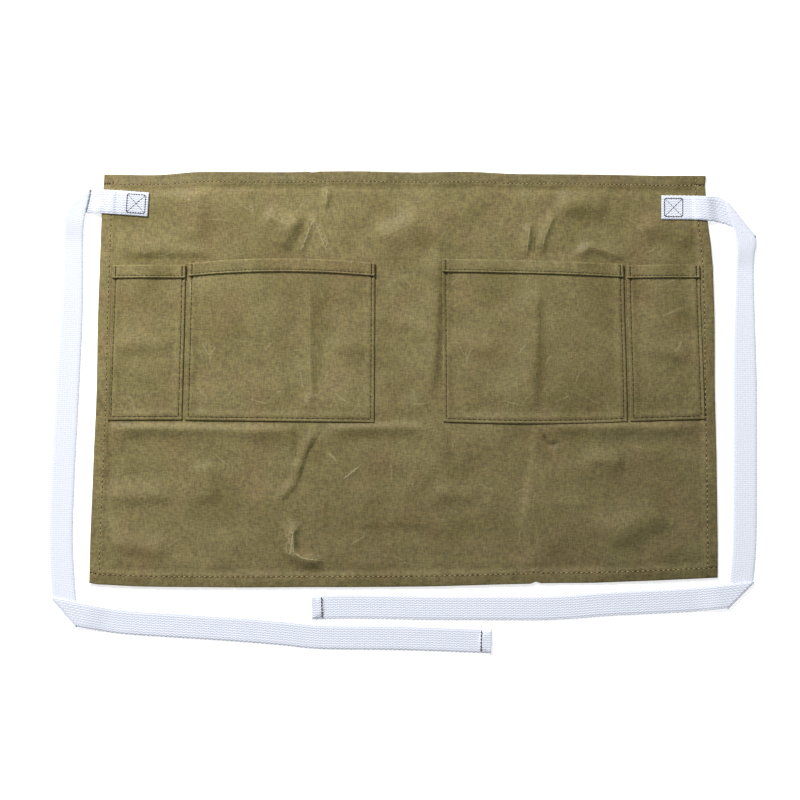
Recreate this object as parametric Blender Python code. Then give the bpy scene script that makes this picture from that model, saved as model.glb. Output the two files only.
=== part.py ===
"""A waist apron of waxed canvas, lying flat with its front up.

The waist is towards +Y, the front faces +Z and the back rests on Z = 0. Four patch pockets are sewn
to the panel, and each side has a webbing tie that is folded flat twice: once beside the waist, so
that it runs down the side, and once beside the foot, so that it runs back under the panel.

Every piece is first laid out from the middle of the straight line between the waist corners. The
whole apron is then moved so that the middle of its footprint is at X = Y = 0.
"""

import math
from collections import namedtuple

import bmesh
import bpy
from mathutils import Matrix, Vector
from mathutils.geometry import interpolate_bezier

# Cloth, webbing and thread
CANVAS = 0.0008
WEBBING = 0.0015
WEBBING_WIDTH = 0.024
THREAD_WIDTH = 0.0009
THREAD_HEIGHT = 0.0005
GAP = 0.0003  # between pieces that touch

# The panel: a trapezoid whose sides bow out a little
WIDTH = 0.6145  # half-way down
FLARE = 0.0270  # how much wider the foot is than the waist
DROP = 0.4049
FOOT_TILT = 0.0066  # how much longer the left side is than the right one
FOOT_SHIFT = -0.0016  # the foot's middle, to the left of the waist's
WAIST_TILT = 0.0012  # the left waist corner above the right one
WAIST_BOW = 0.0040
FOOT_BOW = 0.0060
RIGHT_BOW = 0.0042
WAIST_WIDTH = WIDTH - FLARE / 2.0
FOOT_WIDTH = WIDTH + FLARE / 2.0
LEFT_DROP = DROP + FOOT_TILT / 2.0
RIGHT_DROP = DROP - FOOT_TILT / 2.0

# Hems: canvas turned twice to the back, with one row of stitches
HEM_DEPTH = 0.0112
HEM_LAYERS = 3
HEM_ROW_INSET = 0.0102
STEP = 0.0008  # the width over which a step between layers is spread

# Pockets: sewn on three sides, with the mouth turned twice to the front as a band
NARROW_POCKET = 0.0735
LEFT_WIDE_POCKET = 0.1870
RIGHT_WIDE_POCKET = 0.1820
POCKET_GAP = 0.0030
BAND_DEPTH = 0.0132
BAND_LAYERS = 3
POCKET_ROW_INSET = 0.0034
MOUTH_ROW_INSET = 0.0022  # above the band's lower edge
SEAM_MARGIN = 0.0052  # what lies flat on the panel along the sewn edges
POCKET_RISE = 0.0050  # how far the empty pocket stands open in its middle
RISE_LENGTH = 0.0240

# Ties
SEWN_END_REACH = 0.0445  # how far the sewn ends reach in from the waist corners
FOOT_CLEARANCE = 0.0085  # from the panel's foot to the right tie
LANE_GAP = 0.0060  # between the two ties under the foot
FALL_LENGTH = 0.0090  # over which a tie drops from the panel to the table
FOLD_FALL_START = 0.0050  # past the length below it
FOLD_FALL_LENGTH = 0.0260  # over which a tie drops from a fold to the table
END_TURN = 0.0115  # the free ends are turned under and tacked
TACK_INSET = 0.0103
BOX_SIDE = 0.0182
BOX_INSET = 0.0030  # from the sewn end's cut edge to the box of stitches
FAN_REACH = 2.5  # over how many times a crease's lean the rulings turn square
CREASE_REACH = 0.0010  # the length beside a crease that is drawn back from it

# How finely the shapes are laid out
FINE_STEP = 0.003
COARSE_STEP = 0.012
CLOSING_STEPS = 12
SHARPEST_MITRE = 0.3  # cosine of half the sharpest turn that a thread bar is mitred for

Pocket = namedtuple("Pocket", "name width mouth_left mouth_right foot_left foot_right mouth_bow foot_bow")

# Heights are below the straight line between the waist corners.
LEFT_POCKETS = (
    Pocket("left_narrow", NARROW_POCKET, 0.0899, 0.0896, 0.2448, 0.2445, 0.0, 0.0),
    Pocket("left_wide", LEFT_WIDE_POCKET, 0.0879, 0.0877, 0.2448, 0.2472, 0.0042, 0.0),
)
RIGHT_POCKETS = (
    Pocket("right_narrow", NARROW_POCKET, 0.0899, 0.0893, 0.2461, 0.2438, 0.0, 0.0),
    Pocket("right_wide", RIGHT_WIDE_POCKET, 0.0836, 0.0889, 0.2464, 0.2462, 0.0008, 0.0020),
)

# A tie's route, by hand. Folds are given as (out from the corner, down from the corner). The sewn end
# is (in from the waist corner, down from it). The side run is (share of the way down the side,
# distance from the panel's side to the tie). The end run is (in from the foot corner, distance
# below its lane's start).
Tie = namedtuple("Tie", "side lane sewn first_fold side_run second_fold end_run free_end")

LEFT_TIE = Tie(
    side=-1,
    lane=1,
    sewn=((SEWN_END_REACH, 0.0303), (0.0100, 0.0278), (-0.0080, 0.0267)),
    first_fold=(0.0272, 0.0257),
    side_run=((0.13, 0.0166), (0.32, 0.0158), (0.45, 0.0168), (0.60, 0.0178), (0.75, 0.0186), (0.90, 0.0180)),
    second_fold=(0.0245, 0.0285),
    end_run=((0.010, -0.0155), (0.035, -0.0125), (0.079, -0.0105), (0.145, -0.0073), (0.190, -0.0041),
             (0.230, -0.0004), (0.298, 0.0008), (0.344, 0.0024), (0.380, 0.0044)),
    free_end=(0.4020, 0.0055),
)
RIGHT_TIE = Tie(
    side=1,
    lane=0,
    sewn=((SEWN_END_REACH, 0.0317), (0.0080, 0.0322), (-0.0140, 0.0350)),
    first_fold=(0.0345, 0.0430),
    side_run=((0.185, 0.0226), (0.25, 0.0208), (0.40, 0.0180), (0.60, 0.0162), (0.80, 0.0150), (0.93, 0.0142)),
    second_fold=(0.0225, 0.0170),
    end_run=((0.014, -0.0002), (0.035, 0.0006), (0.111, 0.0014), (0.143, 0.0030), (0.177, 0.0036),
             (0.217, 0.0026), (0.284, 0.0013), (0.342, -0.0003), (0.376, -0.0006)),
    free_end=(0.4058, 0.0004),
)

CANVAS_COLOUR = (0.200, 0.160, 0.068)
BAND_COLOUR = (0.215, 0.180, 0.085)
WEBBING_COLOUR = (0.780, 0.810, 0.880)
HEM_THREAD_COLOUR = (0.330, 0.250, 0.110)
POCKET_THREAD_COLOUR = (0.060, 0.050, 0.025)
TIE_THREAD_COLOUR = (0.130, 0.070, 0.080)


# ---------------------------------------------------------------- small tools

def smooth(t):
    """0 below 0, 1 above 1, and an S-curve between."""
    t = min(max(t, 0.0), 1.0)
    return t * t * (3.0 - 2.0 * t)


def mixed(a, b, t):
    return a + (b - a) * t


def bow(t):
    """An arch that is 0 at t = 0 and t = 1, and 1 half-way."""
    return 4.0 * t * (1.0 - t)


def spaced(start, end, count):
    return [mixed(start, end, i / count) for i in range(count + 1)]


def material(name, colour, roughness):
    made = bpy.data.materials.new(name)
    made.use_nodes = True
    shader = made.node_tree.nodes["Principled BSDF"]
    shader.inputs["Base Color"].default_value = (*colour, 1.0)
    shader.inputs["Roughness"].default_value = roughness
    shader.inputs["Metallic"].default_value = 0.0
    return made


def add_object(name, bm, finish):
    """Links the bmesh as an object with its faces pointing out."""
    bmesh.ops.recalc_face_normals(bm, faces=bm.faces)
    mesh = bpy.data.meshes.new(name)
    bm.to_mesh(mesh)
    bm.free()
    mesh.materials.append(finish)
    obj = bpy.data.objects.new(name, mesh)
    bpy.context.scene.collection.objects.link(obj)
    return obj


def slab(name, across, along, point, finish):
    """A sheet with a thickness: point(a, b, upper) gives the place of each of its corners."""
    bm = bmesh.new()
    columns, rows = len(across) - 1, len(along) - 1
    bmesh.ops.create_grid(bm, x_segments=columns, y_segments=rows, size=1.0)
    stations = {}
    for vert in bm.verts:
        column = round((vert.co.x + 1.0) / 2.0 * columns)
        row = round((vert.co.y + 1.0) / 2.0 * rows)
        stations[vert] = (across[column], along[row])
    lower = {vert: point(*stations[vert], False) for vert in bm.verts}
    upper = {vert: point(*stations[vert], True) for vert in bm.verts}
    raised = bmesh.ops.extrude_face_region(bm, geom=bm.faces[:])["geom"]
    tops = [item for item in raised if isinstance(item, bmesh.types.BMVert)]
    # An extruded corner starts where its own lower corner is, so the two are matched by place.
    below = {tuple(vert.co): vert for vert in lower}
    for vert in tops:
        vert.co = upper[below[tuple(vert.co)]]
    for vert, place in lower.items():
        vert.co = place
    return add_object(name, bm, finish)


def ribbon(name, path, width, height_at, finish, thickness=THREAD_HEIGHT):
    """A thin bar along a plan path, mitred at its corners, lying on height_at(point)."""
    sides = []
    for i, here in enumerate(path):
        before = (here - path[max(i - 1, 0)]).normalized()
        after = (path[min(i + 1, len(path) - 1)] - here).normalized()
        heading = (before + after).normalized()
        turn = max(heading.dot(after if after.length else before), SHARPEST_MITRE)
        sides.append(Vector((-heading.y, heading.x)) * (width / 2.0 / turn))

    def point(side, station, upper):
        place = path[station] + sides[station] * side
        return Vector((*place, height_at(path[station]) + GAP + (thickness if upper else 0.0)))

    return slab(name, (-1.0, 1.0), range(len(path)), point, finish)


def curve_through(points, step):
    """A smooth plan curve through the points, as points about a step apart."""
    ends = [points[0], *points, points[-1]]
    path = [points[0]]
    for i in range(len(points) - 1):
        before, start, end, after = ends[i:i + 4]
        reach = (end - start).length / 3.0
        leave = (end - before).normalized() * reach
        arrive = (after - start).normalized() * reach
        count = max(2, math.ceil((end - start).length / step) + 1)
        corners = [v.to_3d() for v in (start, start + leave, end - arrive, end)]
        path += [v.to_2d() for v in interpolate_bezier(*corners, count)[1:]]
    return path


def move_origin(obj, place):
    """Puts the object's origin at the place and leaves its shape where it is."""
    obj.data.transform(Matrix.Translation(-place))
    obj.location = place


# ---------------------------------------------------------------- the panel

def corner(side, end):
    """A corner of the panel. side is -1 for left and 1 for right, and end is 0 at the waist."""
    if end == 0:
        return Vector((side * WAIST_WIDTH / 2.0, -side * WAIST_TILT / 2.0))
    drop = LEFT_DROP if side < 0 else RIGHT_DROP
    return Vector((side * FOOT_WIDTH / 2.0 + FOOT_SHIFT, corner(side, 0).y - drop))


def side_point(side, t):
    """The point of a side edge that is t of the way from the waist to the foot."""
    place = corner(side, 0).lerp(corner(side, 1), t)
    place.x += RIGHT_BOW * bow(t) if side > 0 else 0.0
    return place


def panel_point(u, t):
    """The plan point that is u of the way from left to right and t of the way from waist to foot."""
    place = side_point(-1, t).lerp(side_point(1, t), u)
    place.y += mixed(WAIST_BOW, -FOOT_BOW, t) * bow(u)
    return place


def panel_share(x, y):
    """The (u, t) of a plan point, found by closing in on it."""
    t = -y / LEFT_DROP
    u = 0.5
    for _ in range(CLOSING_STEPS):
        left, right = side_point(-1, t), side_point(1, t)
        u = (x - left.x) / (right.x - left.x)
        t += (panel_point(u, t).y - y) / LEFT_DROP
    return u, t


def edge_distance(u, t):
    """How far a point of the panel is from its nearest edge, measured as wide as the foot is."""
    return min(min(u, 1.0 - u) * FOOT_WIDTH, min(t, 1.0 - t) * LEFT_DROP)


def panel_height(u, t):
    """The height of the panel's front: three layers along the hems and one inside them."""
    inside = smooth((edge_distance(u, t) - HEM_DEPTH) / STEP)
    return CANVAS * mixed(HEM_LAYERS, 1, inside)


def hem_stations(length, count):
    """Shares of a side with lines on both edges of each hem's inner step."""
    rim = (0.0, HEM_DEPTH / length, (HEM_DEPTH + STEP) / length)
    middle = spaced(rim[2], 1.0 - rim[2], count)
    return [*rim[:2], *middle, *[1.0 - share for share in reversed(rim[:2])]]


def add_panel(finish):
    def point(u, t, upper):
        return Vector((*panel_point(u, t), panel_height(u, t) if upper else 0.0))

    return slab("panel", hem_stations(FOOT_WIDTH, 14), hem_stations(LEFT_DROP, 8), point, finish)


def hem_row(edge, count=14):
    """The plan path of a hem's stitches, which runs from edge to edge."""
    across = HEM_ROW_INSET / FOOT_WIDTH
    down = HEM_ROW_INSET / LEFT_DROP
    clear = 2.0 * THREAD_WIDTH
    if edge in ("waist", "foot"):
        t = down if edge == "waist" else 1.0 - down
        ends = clear / FOOT_WIDTH
        return [panel_point(u, t) for u in spaced(ends, 1.0 - ends, count)]
    u = across if edge == "left" else 1.0 - across
    ends = (HEM_ROW_INSET + clear) / LEFT_DROP
    return [panel_point(u, t) for t in spaced(ends, 1.0 - ends, count)]


def add_hem_threads(finish):
    names = {"waist": "waist_hem_thread", "foot": "foot_hem_thread",
             "left": "left_side_hem_thread", "right": "right_side_hem_thread"}
    top = HEM_LAYERS * CANVAS
    for edge, name in names.items():
        path = hem_row(edge)
        if edge in ("left", "right"):
            path = side_row_clear_of_tie(path, LEFT_TIE if edge == "left" else RIGHT_TIE)
        ribbon(name, path, THREAD_WIDTH, lambda place: top, finish)


# ---------------------------------------------------------------- the pockets

def pocket_columns():
    """{pocket name: its left and right edge, as shares of the panel's width}"""
    start = HEM_DEPTH + STEP + GAP
    columns = {}
    for side, pockets in ((-1, LEFT_POCKETS), (1, RIGHT_POCKETS)):
        reach = start
        for pocket in pockets:
            near, far = reach / WIDTH, (reach + pocket.width) / WIDTH
            columns[pocket.name] = (near, far) if side < 0 else (1.0 - far, 1.0 - near)
            reach += pocket.width + POCKET_GAP
    return columns


def pocket_point(pocket, column, s, d):
    """The plan point that is s of the way across a pocket and d of the way from its mouth to its foot."""
    mouth = -mixed(pocket.mouth_left, pocket.mouth_right, s) + pocket.mouth_bow * bow(s)
    foot = -mixed(pocket.foot_left, pocket.foot_right, s) - pocket.foot_bow * bow(s)
    y = mixed(mouth, foot, d)
    u = mixed(*column, s)
    t = panel_share(panel_point(u, -y / LEFT_DROP).x, y)[1]
    return Vector((panel_point(u, t).x, y))


def pocket_lift(pocket, s, d):
    """How far the pocket stands off the panel: nothing along its sewn edges, most in its middle."""
    depth = pocket.foot_left - pocket.mouth_left
    sides = min(s, 1.0 - s) * pocket.width - SEAM_MARGIN
    foot = (1.0 - d) * depth - SEAM_MARGIN
    return POCKET_RISE * smooth(sides / RISE_LENGTH) * smooth(foot / RISE_LENGTH)


def pocket_top(pocket, s, d):
    """The height of the pocket's front, with the band's layers along its mouth."""
    depth = pocket.foot_left - pocket.mouth_left
    layers = mixed(BAND_LAYERS, 1, smooth((d * depth - BAND_DEPTH) / STEP))
    return CANVAS + GAP + pocket_lift(pocket, s, d) + CANVAS * layers


def pocket_stations(pocket):
    """The shares across and down the pocket at which its shape changes."""
    depth = pocket.foot_left - pocket.mouth_left
    rise = spaced(SEAM_MARGIN, SEAM_MARGIN + RISE_LENGTH, 4)
    half = [0.0, *[x / pocket.width for x in rise if x < pocket.width / 2.0]]
    count = 4 if pocket.width > 2.0 * rise[-1] + RISE_LENGTH else 2
    middle = spaced(half[-1], 1.0 - half[-1], count)
    across = [*half[:-1], *middle, *[1.0 - x for x in reversed(half[:-1])]]
    band = [0.0, BAND_DEPTH / depth, (BAND_DEPTH + STEP) / depth]
    foot = [1.0 - x / depth for x in reversed(rise)]
    return across, [*band, *spaced(0.25, foot[0], 3), *foot[1:], 1.0]


def add_pocket(pocket, column, finish):
    across, down = pocket_stations(pocket)

    def point(s, d, upper):
        place = pocket_point(pocket, column, s, d)
        under = CANVAS + GAP + pocket_lift(pocket, s, d)
        return Vector((*place, pocket_top(pocket, s, d) if upper else under))

    return slab(f"{pocket.name}_pocket", across, down, point, finish)


def add_pocket_threads(pocket, column, finish):
    """The row round the three sewn edges, and the row along the band between its ends."""
    depth = pocket.foot_left - pocket.mouth_left
    s_in, d_in = POCKET_ROW_INSET / pocket.width, 1.0 - POCKET_ROW_INSET / depth
    start = THREAD_WIDTH / depth
    step_lines = [BAND_DEPTH / depth, (BAND_DEPTH + STEP) / depth]
    down = [start, *step_lines, *spaced(0.3, d_in, 3)]
    shares = [(s_in, d) for d in down] + [(s, d_in) for s in spaced(s_in, 1.0 - s_in, 4)[1:]]
    shares += [(1.0 - s_in, d) for d in reversed(down[:-1])]
    add_row(f"{pocket.name}_pocket_edge_thread", pocket, column, shares, finish)
    row = (BAND_DEPTH - MOUTH_ROW_INSET) / depth
    clear = s_in + 2.0 * THREAD_WIDTH / pocket.width
    across = [s for s in pocket_stations(pocket)[0] if clear < s < 1.0 - clear]
    shares = [(s, row) for s in (clear, *across, 1.0 - clear)]
    add_row(f"{pocket.name}_pocket_mouth_thread", pocket, column, shares, finish)


def add_row(name, pocket, column, shares, finish):
    path = [pocket_point(pocket, column, s, d) for s, d in shares]
    heights = {tuple(place): pocket_top(pocket, *share) for place, share in zip(path, shares)}
    ribbon(name, path, THREAD_WIDTH, lambda place: heights[tuple(place)], finish)


# ---------------------------------------------------------------- the ties

def from_corner(side, end, out, down):
    """A plan point beside a corner: out is away from the panel's middle."""
    place = corner(side, end)
    return Vector((place.x + side * out, place.y - down))


def tie_lane(tie):
    """How far below the panel's foot the tie's upper edge lies."""
    return FOOT_CLEARANCE + tie.lane * (WEBBING_WIDTH + LANE_GAP)


def below_foot(tie, reach, extra):
    """The centre of the end run where it is this far in from the foot corner."""
    place = from_corner(tie.side, 1, -reach, 0.0)
    u = max(0.0, min(1.0, (place.x - corner(-1, 1).x) / FOOT_WIDTH))
    place.y = panel_point(u, 1.0).y - tie_lane(tie) - extra - WEBBING_WIDTH / 2.0
    return place


def beside_panel(tie, t, clear):
    place = side_point(tie.side, t)
    place.x += tie.side * (clear + WEBBING_WIDTH / 2.0)
    return place


def tie_paths(tie):
    """The centre lines of the tie's three lengths, each from the sewn end on."""
    first = from_corner(tie.side, 0, *tie.first_fold)
    second = from_corner(tie.side, 1, *tie.second_fold)
    sewn = [from_corner(tie.side, 0, -reach, down) for reach, down in tie.sewn]
    side = [beside_panel(tie, t, clear) for t, clear in tie.side_run]
    end = [below_foot(tie, reach, extra) for reach, extra in (*tie.end_run, tie.free_end)]
    return (curve_through([*sewn, first], FINE_STEP),
            curve_through([first, *side, second], COARSE_STEP),
            curve_through([second, *end], COARSE_STEP))


Fold = namedtuple("Fold", "place along arrive leave shift")


def fold_between(path, following):
    """The crease between two lengths, which halves the turn from one heading to the next."""
    arrive = (path[-1] - path[-2]).normalized()
    leave = (following[1] - following[0]).normalized()
    along = (arrive + leave).normalized()
    half_turn = arrive.angle(leave) / 2.0
    return Fold(path[-1], along, arrive, leave, WEBBING_WIDTH / 2.0 / math.tan(half_turn))


def strap_rulings(path, start_fold, end_fold):
    """(centre, half-width vector) at each station. A ruling lies along its crease at a fold and
    turns square to the strap away from it."""
    lengths = [0.0]
    for here, there in zip(path, path[1:]):
        lengths.append(lengths[-1] + (there - here).length)
    rulings = []
    for i, centre in enumerate(path):
        heading = (path[min(i + 1, len(path) - 1)] - path[max(i - 1, 0)]).normalized()
        square = Vector((-heading.y, heading.x)) * (WEBBING_WIDTH / 2.0)
        slide = Vector((0.0, 0.0))
        for fold, distance, sign in ((start_fold, lengths[i], 1.0), (end_fold, lengths[-1] - lengths[i], -1.0)):
            if fold:
                lean = fold.shift * smooth(1.0 - distance / (FAN_REACH * fold.shift))
                crease = fold.along if fold.along.dot(square) > 0.0 else -fold.along
                lean *= 1.0 if crease.dot(heading) > 0.0 else -1.0
                back = max(0.0, 1.0 - distance / CREASE_REACH) * GAP / 2.0
                back /= abs(crease.dot(square.normalized()))
                slide += heading * lean
                centre = centre + heading * (sign * back)
        rulings.append((centre, square + slide))
    return rulings


def add_strap(name, rulings, bottom_at, top_at, finish):
    """A length of webbing between its rulings. Heights are read at each corner's own plan point."""
    def point(side, station, upper):
        centre, half = rulings[station]
        place = centre + half * side
        return Vector((*place, (top_at if upper else bottom_at)(place)))

    return slab(name, (-1.0, -0.5, 0.0, 0.5, 1.0), range(len(rulings)), point, finish)


def sewn_end_height(tie, place):
    """The underside of a sewn end: on the panel, over its side hem and down to the table."""
    t = -place.y / LEFT_DROP
    inside = -tie.side * (place.x - side_point(tie.side, t).x)
    on_panel = CANVAS + GAP
    on_hem = HEM_LAYERS * CANVAS + GAP
    over_hem = mixed(on_hem, on_panel, smooth((inside - HEM_DEPTH - 2.0 * STEP) / (4.0 * STEP)))
    return over_hem * smooth((inside + FALL_LENGTH + STEP) / FALL_LENGTH)


def after_fold_height(fold, place, before=0.0):
    """The underside of a length that lies on the one before it at a fold, and then on the table.
    Before is the height of the underside of the one before it."""
    gone = (place - fold.place).dot(fold.leave)
    return (before + WEBBING + GAP) * (1.0 - smooth((gone - fold.shift - FOLD_FALL_START) / FOLD_FALL_LENGTH))


def side_row_clear_of_tie(path, tie):
    """The part of a side hem's row that the tie doesn't cover: it starts below the sewn end."""
    lowest = min((centre - abs(half.y) * Vector((0.0, 1.0))).y
                 for centre, half in sewn_rulings(tie) if abs(centre.x) < abs(corner(tie.side, 0).x) + STEP)
    limit = lowest - 3.0 * THREAD_WIDTH
    kept = [place for place in path if place.y < limit]
    above = [place for place in path if place.y >= limit][-1]
    share = (above.y - limit) / (above.y - kept[0].y)
    return [above.lerp(kept[0], share), *kept]


def sewn_rulings(tie):
    paths = tie_paths(tie)
    return strap_rulings(paths[0], None, fold_between(paths[0], paths[1]))


def add_box_thread(name, tie, rulings, finish):
    """A square of stitches with both diagonals, through the sewn end and the panel."""
    heading = (rulings[4][0] - rulings[0][0]).normalized()
    square = Vector((-heading.y, heading.x))
    middle = rulings[0][0] + heading * (BOX_INSET + BOX_SIDE / 2.0)
    bm = bmesh.new()
    bmesh.ops.create_grid(bm, x_segments=1, y_segments=1, size=BOX_SIDE / 2.0)
    bmesh.ops.poke(bm, faces=bm.faces[:])
    bmesh.ops.inset_individual(bm, faces=bm.faces[:], thickness=THREAD_WIDTH / 2.0)
    for face in [f for f in bm.faces if len(f.edges) == 3]:
        bm.faces.remove(face)
    for vert in bm.verts:
        if min(abs(vert.co.x), abs(vert.co.y)) > BOX_SIDE / 2.0 - 1e-6:
            vert.co *= 1.0 + THREAD_WIDTH / BOX_SIDE
    base = CANVAS + GAP + WEBBING + GAP
    for vert in bm.verts:
        plan = middle + heading * vert.co.x + square * vert.co.y
        vert.co = Vector((*plan, base))
    raised = bmesh.ops.extrude_face_region(bm, geom=bm.faces[:])["geom"]
    tops = [item for item in raised if isinstance(item, bmesh.types.BMVert)]
    bmesh.ops.translate(bm, verts=tops, vec=(0.0, 0.0, THREAD_HEIGHT))
    return add_object(name, bm, finish)


def add_tie(label, tie, webbing, thread):
    """The tie's three lengths, with the later length on top at each fold, and its two thread rows."""
    paths = tie_paths(tie)
    folds = [fold_between(paths[0], paths[1]), fold_between(paths[1], paths[2])]
    sewn = strap_rulings(paths[0], None, folds[0])
    side = strap_rulings(paths[1], folds[0], folds[1])
    end = strap_rulings(paths[2], folds[1], None)
    free_end = paths[2][-1]

    def turn_under(place):
        return WEBBING * (1.0 - smooth(((place - free_end).length - END_TURN) / (2.0 * STEP)))

    add_strap(f"{label}_tie_sewn_end", sewn, lambda place: sewn_end_height(tie, place),
              lambda place: sewn_end_height(tie, place) + WEBBING, webbing)
    def side_height(place):
        return after_fold_height(folds[0], place, sewn_end_height(tie, place))

    side_run = add_strap(f"{label}_tie_side_run", side, side_height, lambda place: side_height(place) + WEBBING,
                         webbing)
    end_run = add_strap(f"{label}_tie_end_run", end, lambda place: after_fold_height(folds[1], place),
                        lambda place: after_fold_height(folds[1], place) + WEBBING + turn_under(place), webbing)
    add_box_thread(f"{label}_tie_box_thread", tie, sewn, thread)
    last = (free_end - paths[2][-2]).normalized()
    across = Vector((-last.y, last.x)) * (WEBBING_WIDTH / 2.0 - 2.0 * THREAD_WIDTH)
    tack = free_end - last * TACK_INSET
    tack_thread = ribbon(f"{label}_tie_end_thread", [tack - across, tack, tack + across], THREAD_WIDTH,
                         lambda place: 2.0 * WEBBING, thread)
    for obj, fold in ((side_run, folds[0]), (end_run, folds[1])):
        move_origin(obj, Vector((*fold.place, WEBBING + GAP / 2.0)))
    for child, parent in ((end_run, side_run), (tack_thread, end_run)):
        child.parent = parent
        child.matrix_parent_inverse = Matrix.Translation(-parent_place(parent))


def parent_place(obj):
    """Where an object's origin is, through any parents, which are placed but not turned."""
    return obj.location + (parent_place(obj.parent) + obj.matrix_parent_inverse.translation
                           if obj.parent else Vector((0.0, 0.0, 0.0)))


# ---------------------------------------------------------------- the apron

def centre_footprint():
    """Moves everything so that the middle of the footprint is at X = Y = 0."""
    bpy.context.view_layer.update()
    points = [obj.matrix_world @ vert.co for obj in bpy.data.objects for vert in obj.data.vertices]
    middle = [(min(p[axis] for p in points) + max(p[axis] for p in points)) / 2.0 for axis in (0, 1)]
    for obj in bpy.data.objects:
        if not obj.parent:
            obj.location -= Vector((*middle, 0.0))


def main():
    for obj in list(bpy.data.objects):
        bpy.data.objects.remove(obj)
    canvas = material("waxed_canvas", CANVAS_COLOUR, 0.75)
    pocket_canvas = material("pocket_canvas", BAND_COLOUR, 0.75)
    webbing = material("cotton_webbing", WEBBING_COLOUR, 0.85)
    hem_thread = material("tan_hem_thread", HEM_THREAD_COLOUR, 0.6)
    pocket_thread = material("dark_pocket_thread", POCKET_THREAD_COLOUR, 0.6)
    tie_thread = material("brown_tie_thread", TIE_THREAD_COLOUR, 0.6)
    add_panel(canvas)
    add_hem_threads(hem_thread)
    columns = pocket_columns()
    for pocket in (*LEFT_POCKETS, *RIGHT_POCKETS):
        add_pocket(pocket, columns[pocket.name], pocket_canvas)
        add_pocket_threads(pocket, columns[pocket.name], pocket_thread)
    add_tie("left", LEFT_TIE, webbing, tie_thread)
    add_tie("right", RIGHT_TIE, webbing, tie_thread)
    centre_footprint()


main()
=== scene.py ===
"""A waist apron of waxed canvas with four patch pockets and two folded webbing ties, lying flat.

Everything is in metres and in the packed frame: +X towards the right tie, +Y towards the waist hem
and +Z up, out of the apron's front. The cloth lies on Z = 0.
"""

import math
import random
from collections import namedtuple
from functools import partial

import bmesh
import bpy
import numpy as np
from bpy.props import FloatProperty, FloatVectorProperty, PointerProperty
from mathutils import Matrix, Vector, noise
from mathutils.geometry import interpolate_bezier


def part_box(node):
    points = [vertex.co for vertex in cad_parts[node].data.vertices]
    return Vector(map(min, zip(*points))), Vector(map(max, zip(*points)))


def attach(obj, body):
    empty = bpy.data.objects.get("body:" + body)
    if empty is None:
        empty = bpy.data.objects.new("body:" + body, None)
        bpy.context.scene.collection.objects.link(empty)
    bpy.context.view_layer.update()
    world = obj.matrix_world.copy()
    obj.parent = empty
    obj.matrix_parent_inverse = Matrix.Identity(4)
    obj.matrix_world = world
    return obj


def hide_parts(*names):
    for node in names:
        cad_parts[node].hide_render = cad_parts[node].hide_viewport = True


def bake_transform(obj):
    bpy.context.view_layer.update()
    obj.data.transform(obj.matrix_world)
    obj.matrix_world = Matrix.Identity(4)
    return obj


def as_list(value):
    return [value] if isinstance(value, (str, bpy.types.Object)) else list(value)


bl_info = {
    "name": "Waxed Canvas Waist Apron",
    "version": (1, 0, 0),
    "blender": (4, 5, 0),
    "location": "3D View > Sidebar > Apron",
    "description": "Builds a waist apron with patch pockets and folded webbing ties",
    "category": "Object",
}

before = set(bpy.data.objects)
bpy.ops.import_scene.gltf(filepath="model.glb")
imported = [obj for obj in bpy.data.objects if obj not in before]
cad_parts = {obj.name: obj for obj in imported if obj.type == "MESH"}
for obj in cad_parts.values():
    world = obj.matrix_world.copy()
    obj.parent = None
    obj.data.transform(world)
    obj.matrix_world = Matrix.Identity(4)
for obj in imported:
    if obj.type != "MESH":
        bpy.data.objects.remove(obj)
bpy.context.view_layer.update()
MM = 0.001

# ---------------------------------------------------------------- what the frame gives


def node_corner(node, right, up):
    """The plan point of a CAD node that lies furthest that way."""
    return max((vert.co.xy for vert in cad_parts[node].data.vertices),
               key=lambda place: right * place.x + up * place.y).copy()


def node_middle_end(node, up):
    """The plan point half-way along a CAD node's upper or lower edge, which may bow."""
    low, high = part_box(node)
    middle, reach = (low.x + high.x) / 2.0, (high.x - low.x) / 6.0
    near = [vert.co.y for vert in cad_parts[node].data.vertices if abs(vert.co.x - middle) < reach]
    return up * max(up * y for y in near)


PANEL = {(side, end): node_corner("panel", side, 1 - 2 * end) for side in (-1, 1) for end in (0, 1)}
WIDTH = PANEL[1, 1].x - PANEL[-1, 1].x
DROP = PANEL[-1, 0].y - PANEL[-1, 1].y
POCKETS = ("left_narrow", "left_wide", "right_wide", "right_narrow")
WEBBING_WIDTH = 24.0 * MM

# The middle lines, in millimetres, of the ties' three runs, each from the sewn end on
Route = namedtuple("Route", "sewn side end")
ROUTES = {
    "left": Route(
        sewn=((-254.2, 207.1), (-288.7, 209.6), (-306.7, 210.7), (-325.88, 211.73)),
        side=((-325.88, 211.73), (-329.2, 184.4), (-331.3, 106.8), (-334.3, 53.7), (-337.5, -7.5),
              (-340.6, -68.7), (-342.3, -130.0), (-338.28, -199.27)),
        end=((-338.28, -199.27), (-303.8, -206.1), (-278.8, -209.7), (-234.8, -212.7), (-168.8, -217.0),
             (-123.8, -220.6), (-83.8, -224.5), (-15.8, -225.5), (30.2, -226.7), (66.2, -228.1),
             (88.2, -228.8)),
    ),
    "right": Route(
        sewn=((257.8, 204.5), (294.3, 204.0), (316.3, 201.2), (336.82, 193.23)),
        side=((336.82, 193.23), (341.7, 161.9), (341.2, 135.8), (341.1, 75.6), (341.7, -4.7),
              (341.5, -85.1), (340.7, -137.3), (336.72, -182.37)),
        end=((336.72, -182.37), (300.2, -186.3), (279.2, -188.0), (203.2, -191.7), (171.2, -194.3),
             (137.2, -195.9), (97.2, -195.8), (30.2, -195.6), (-27.8, -194.5), (-61.8, -194.3),
             (-91.6, -195.2)),
    ),
}
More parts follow.
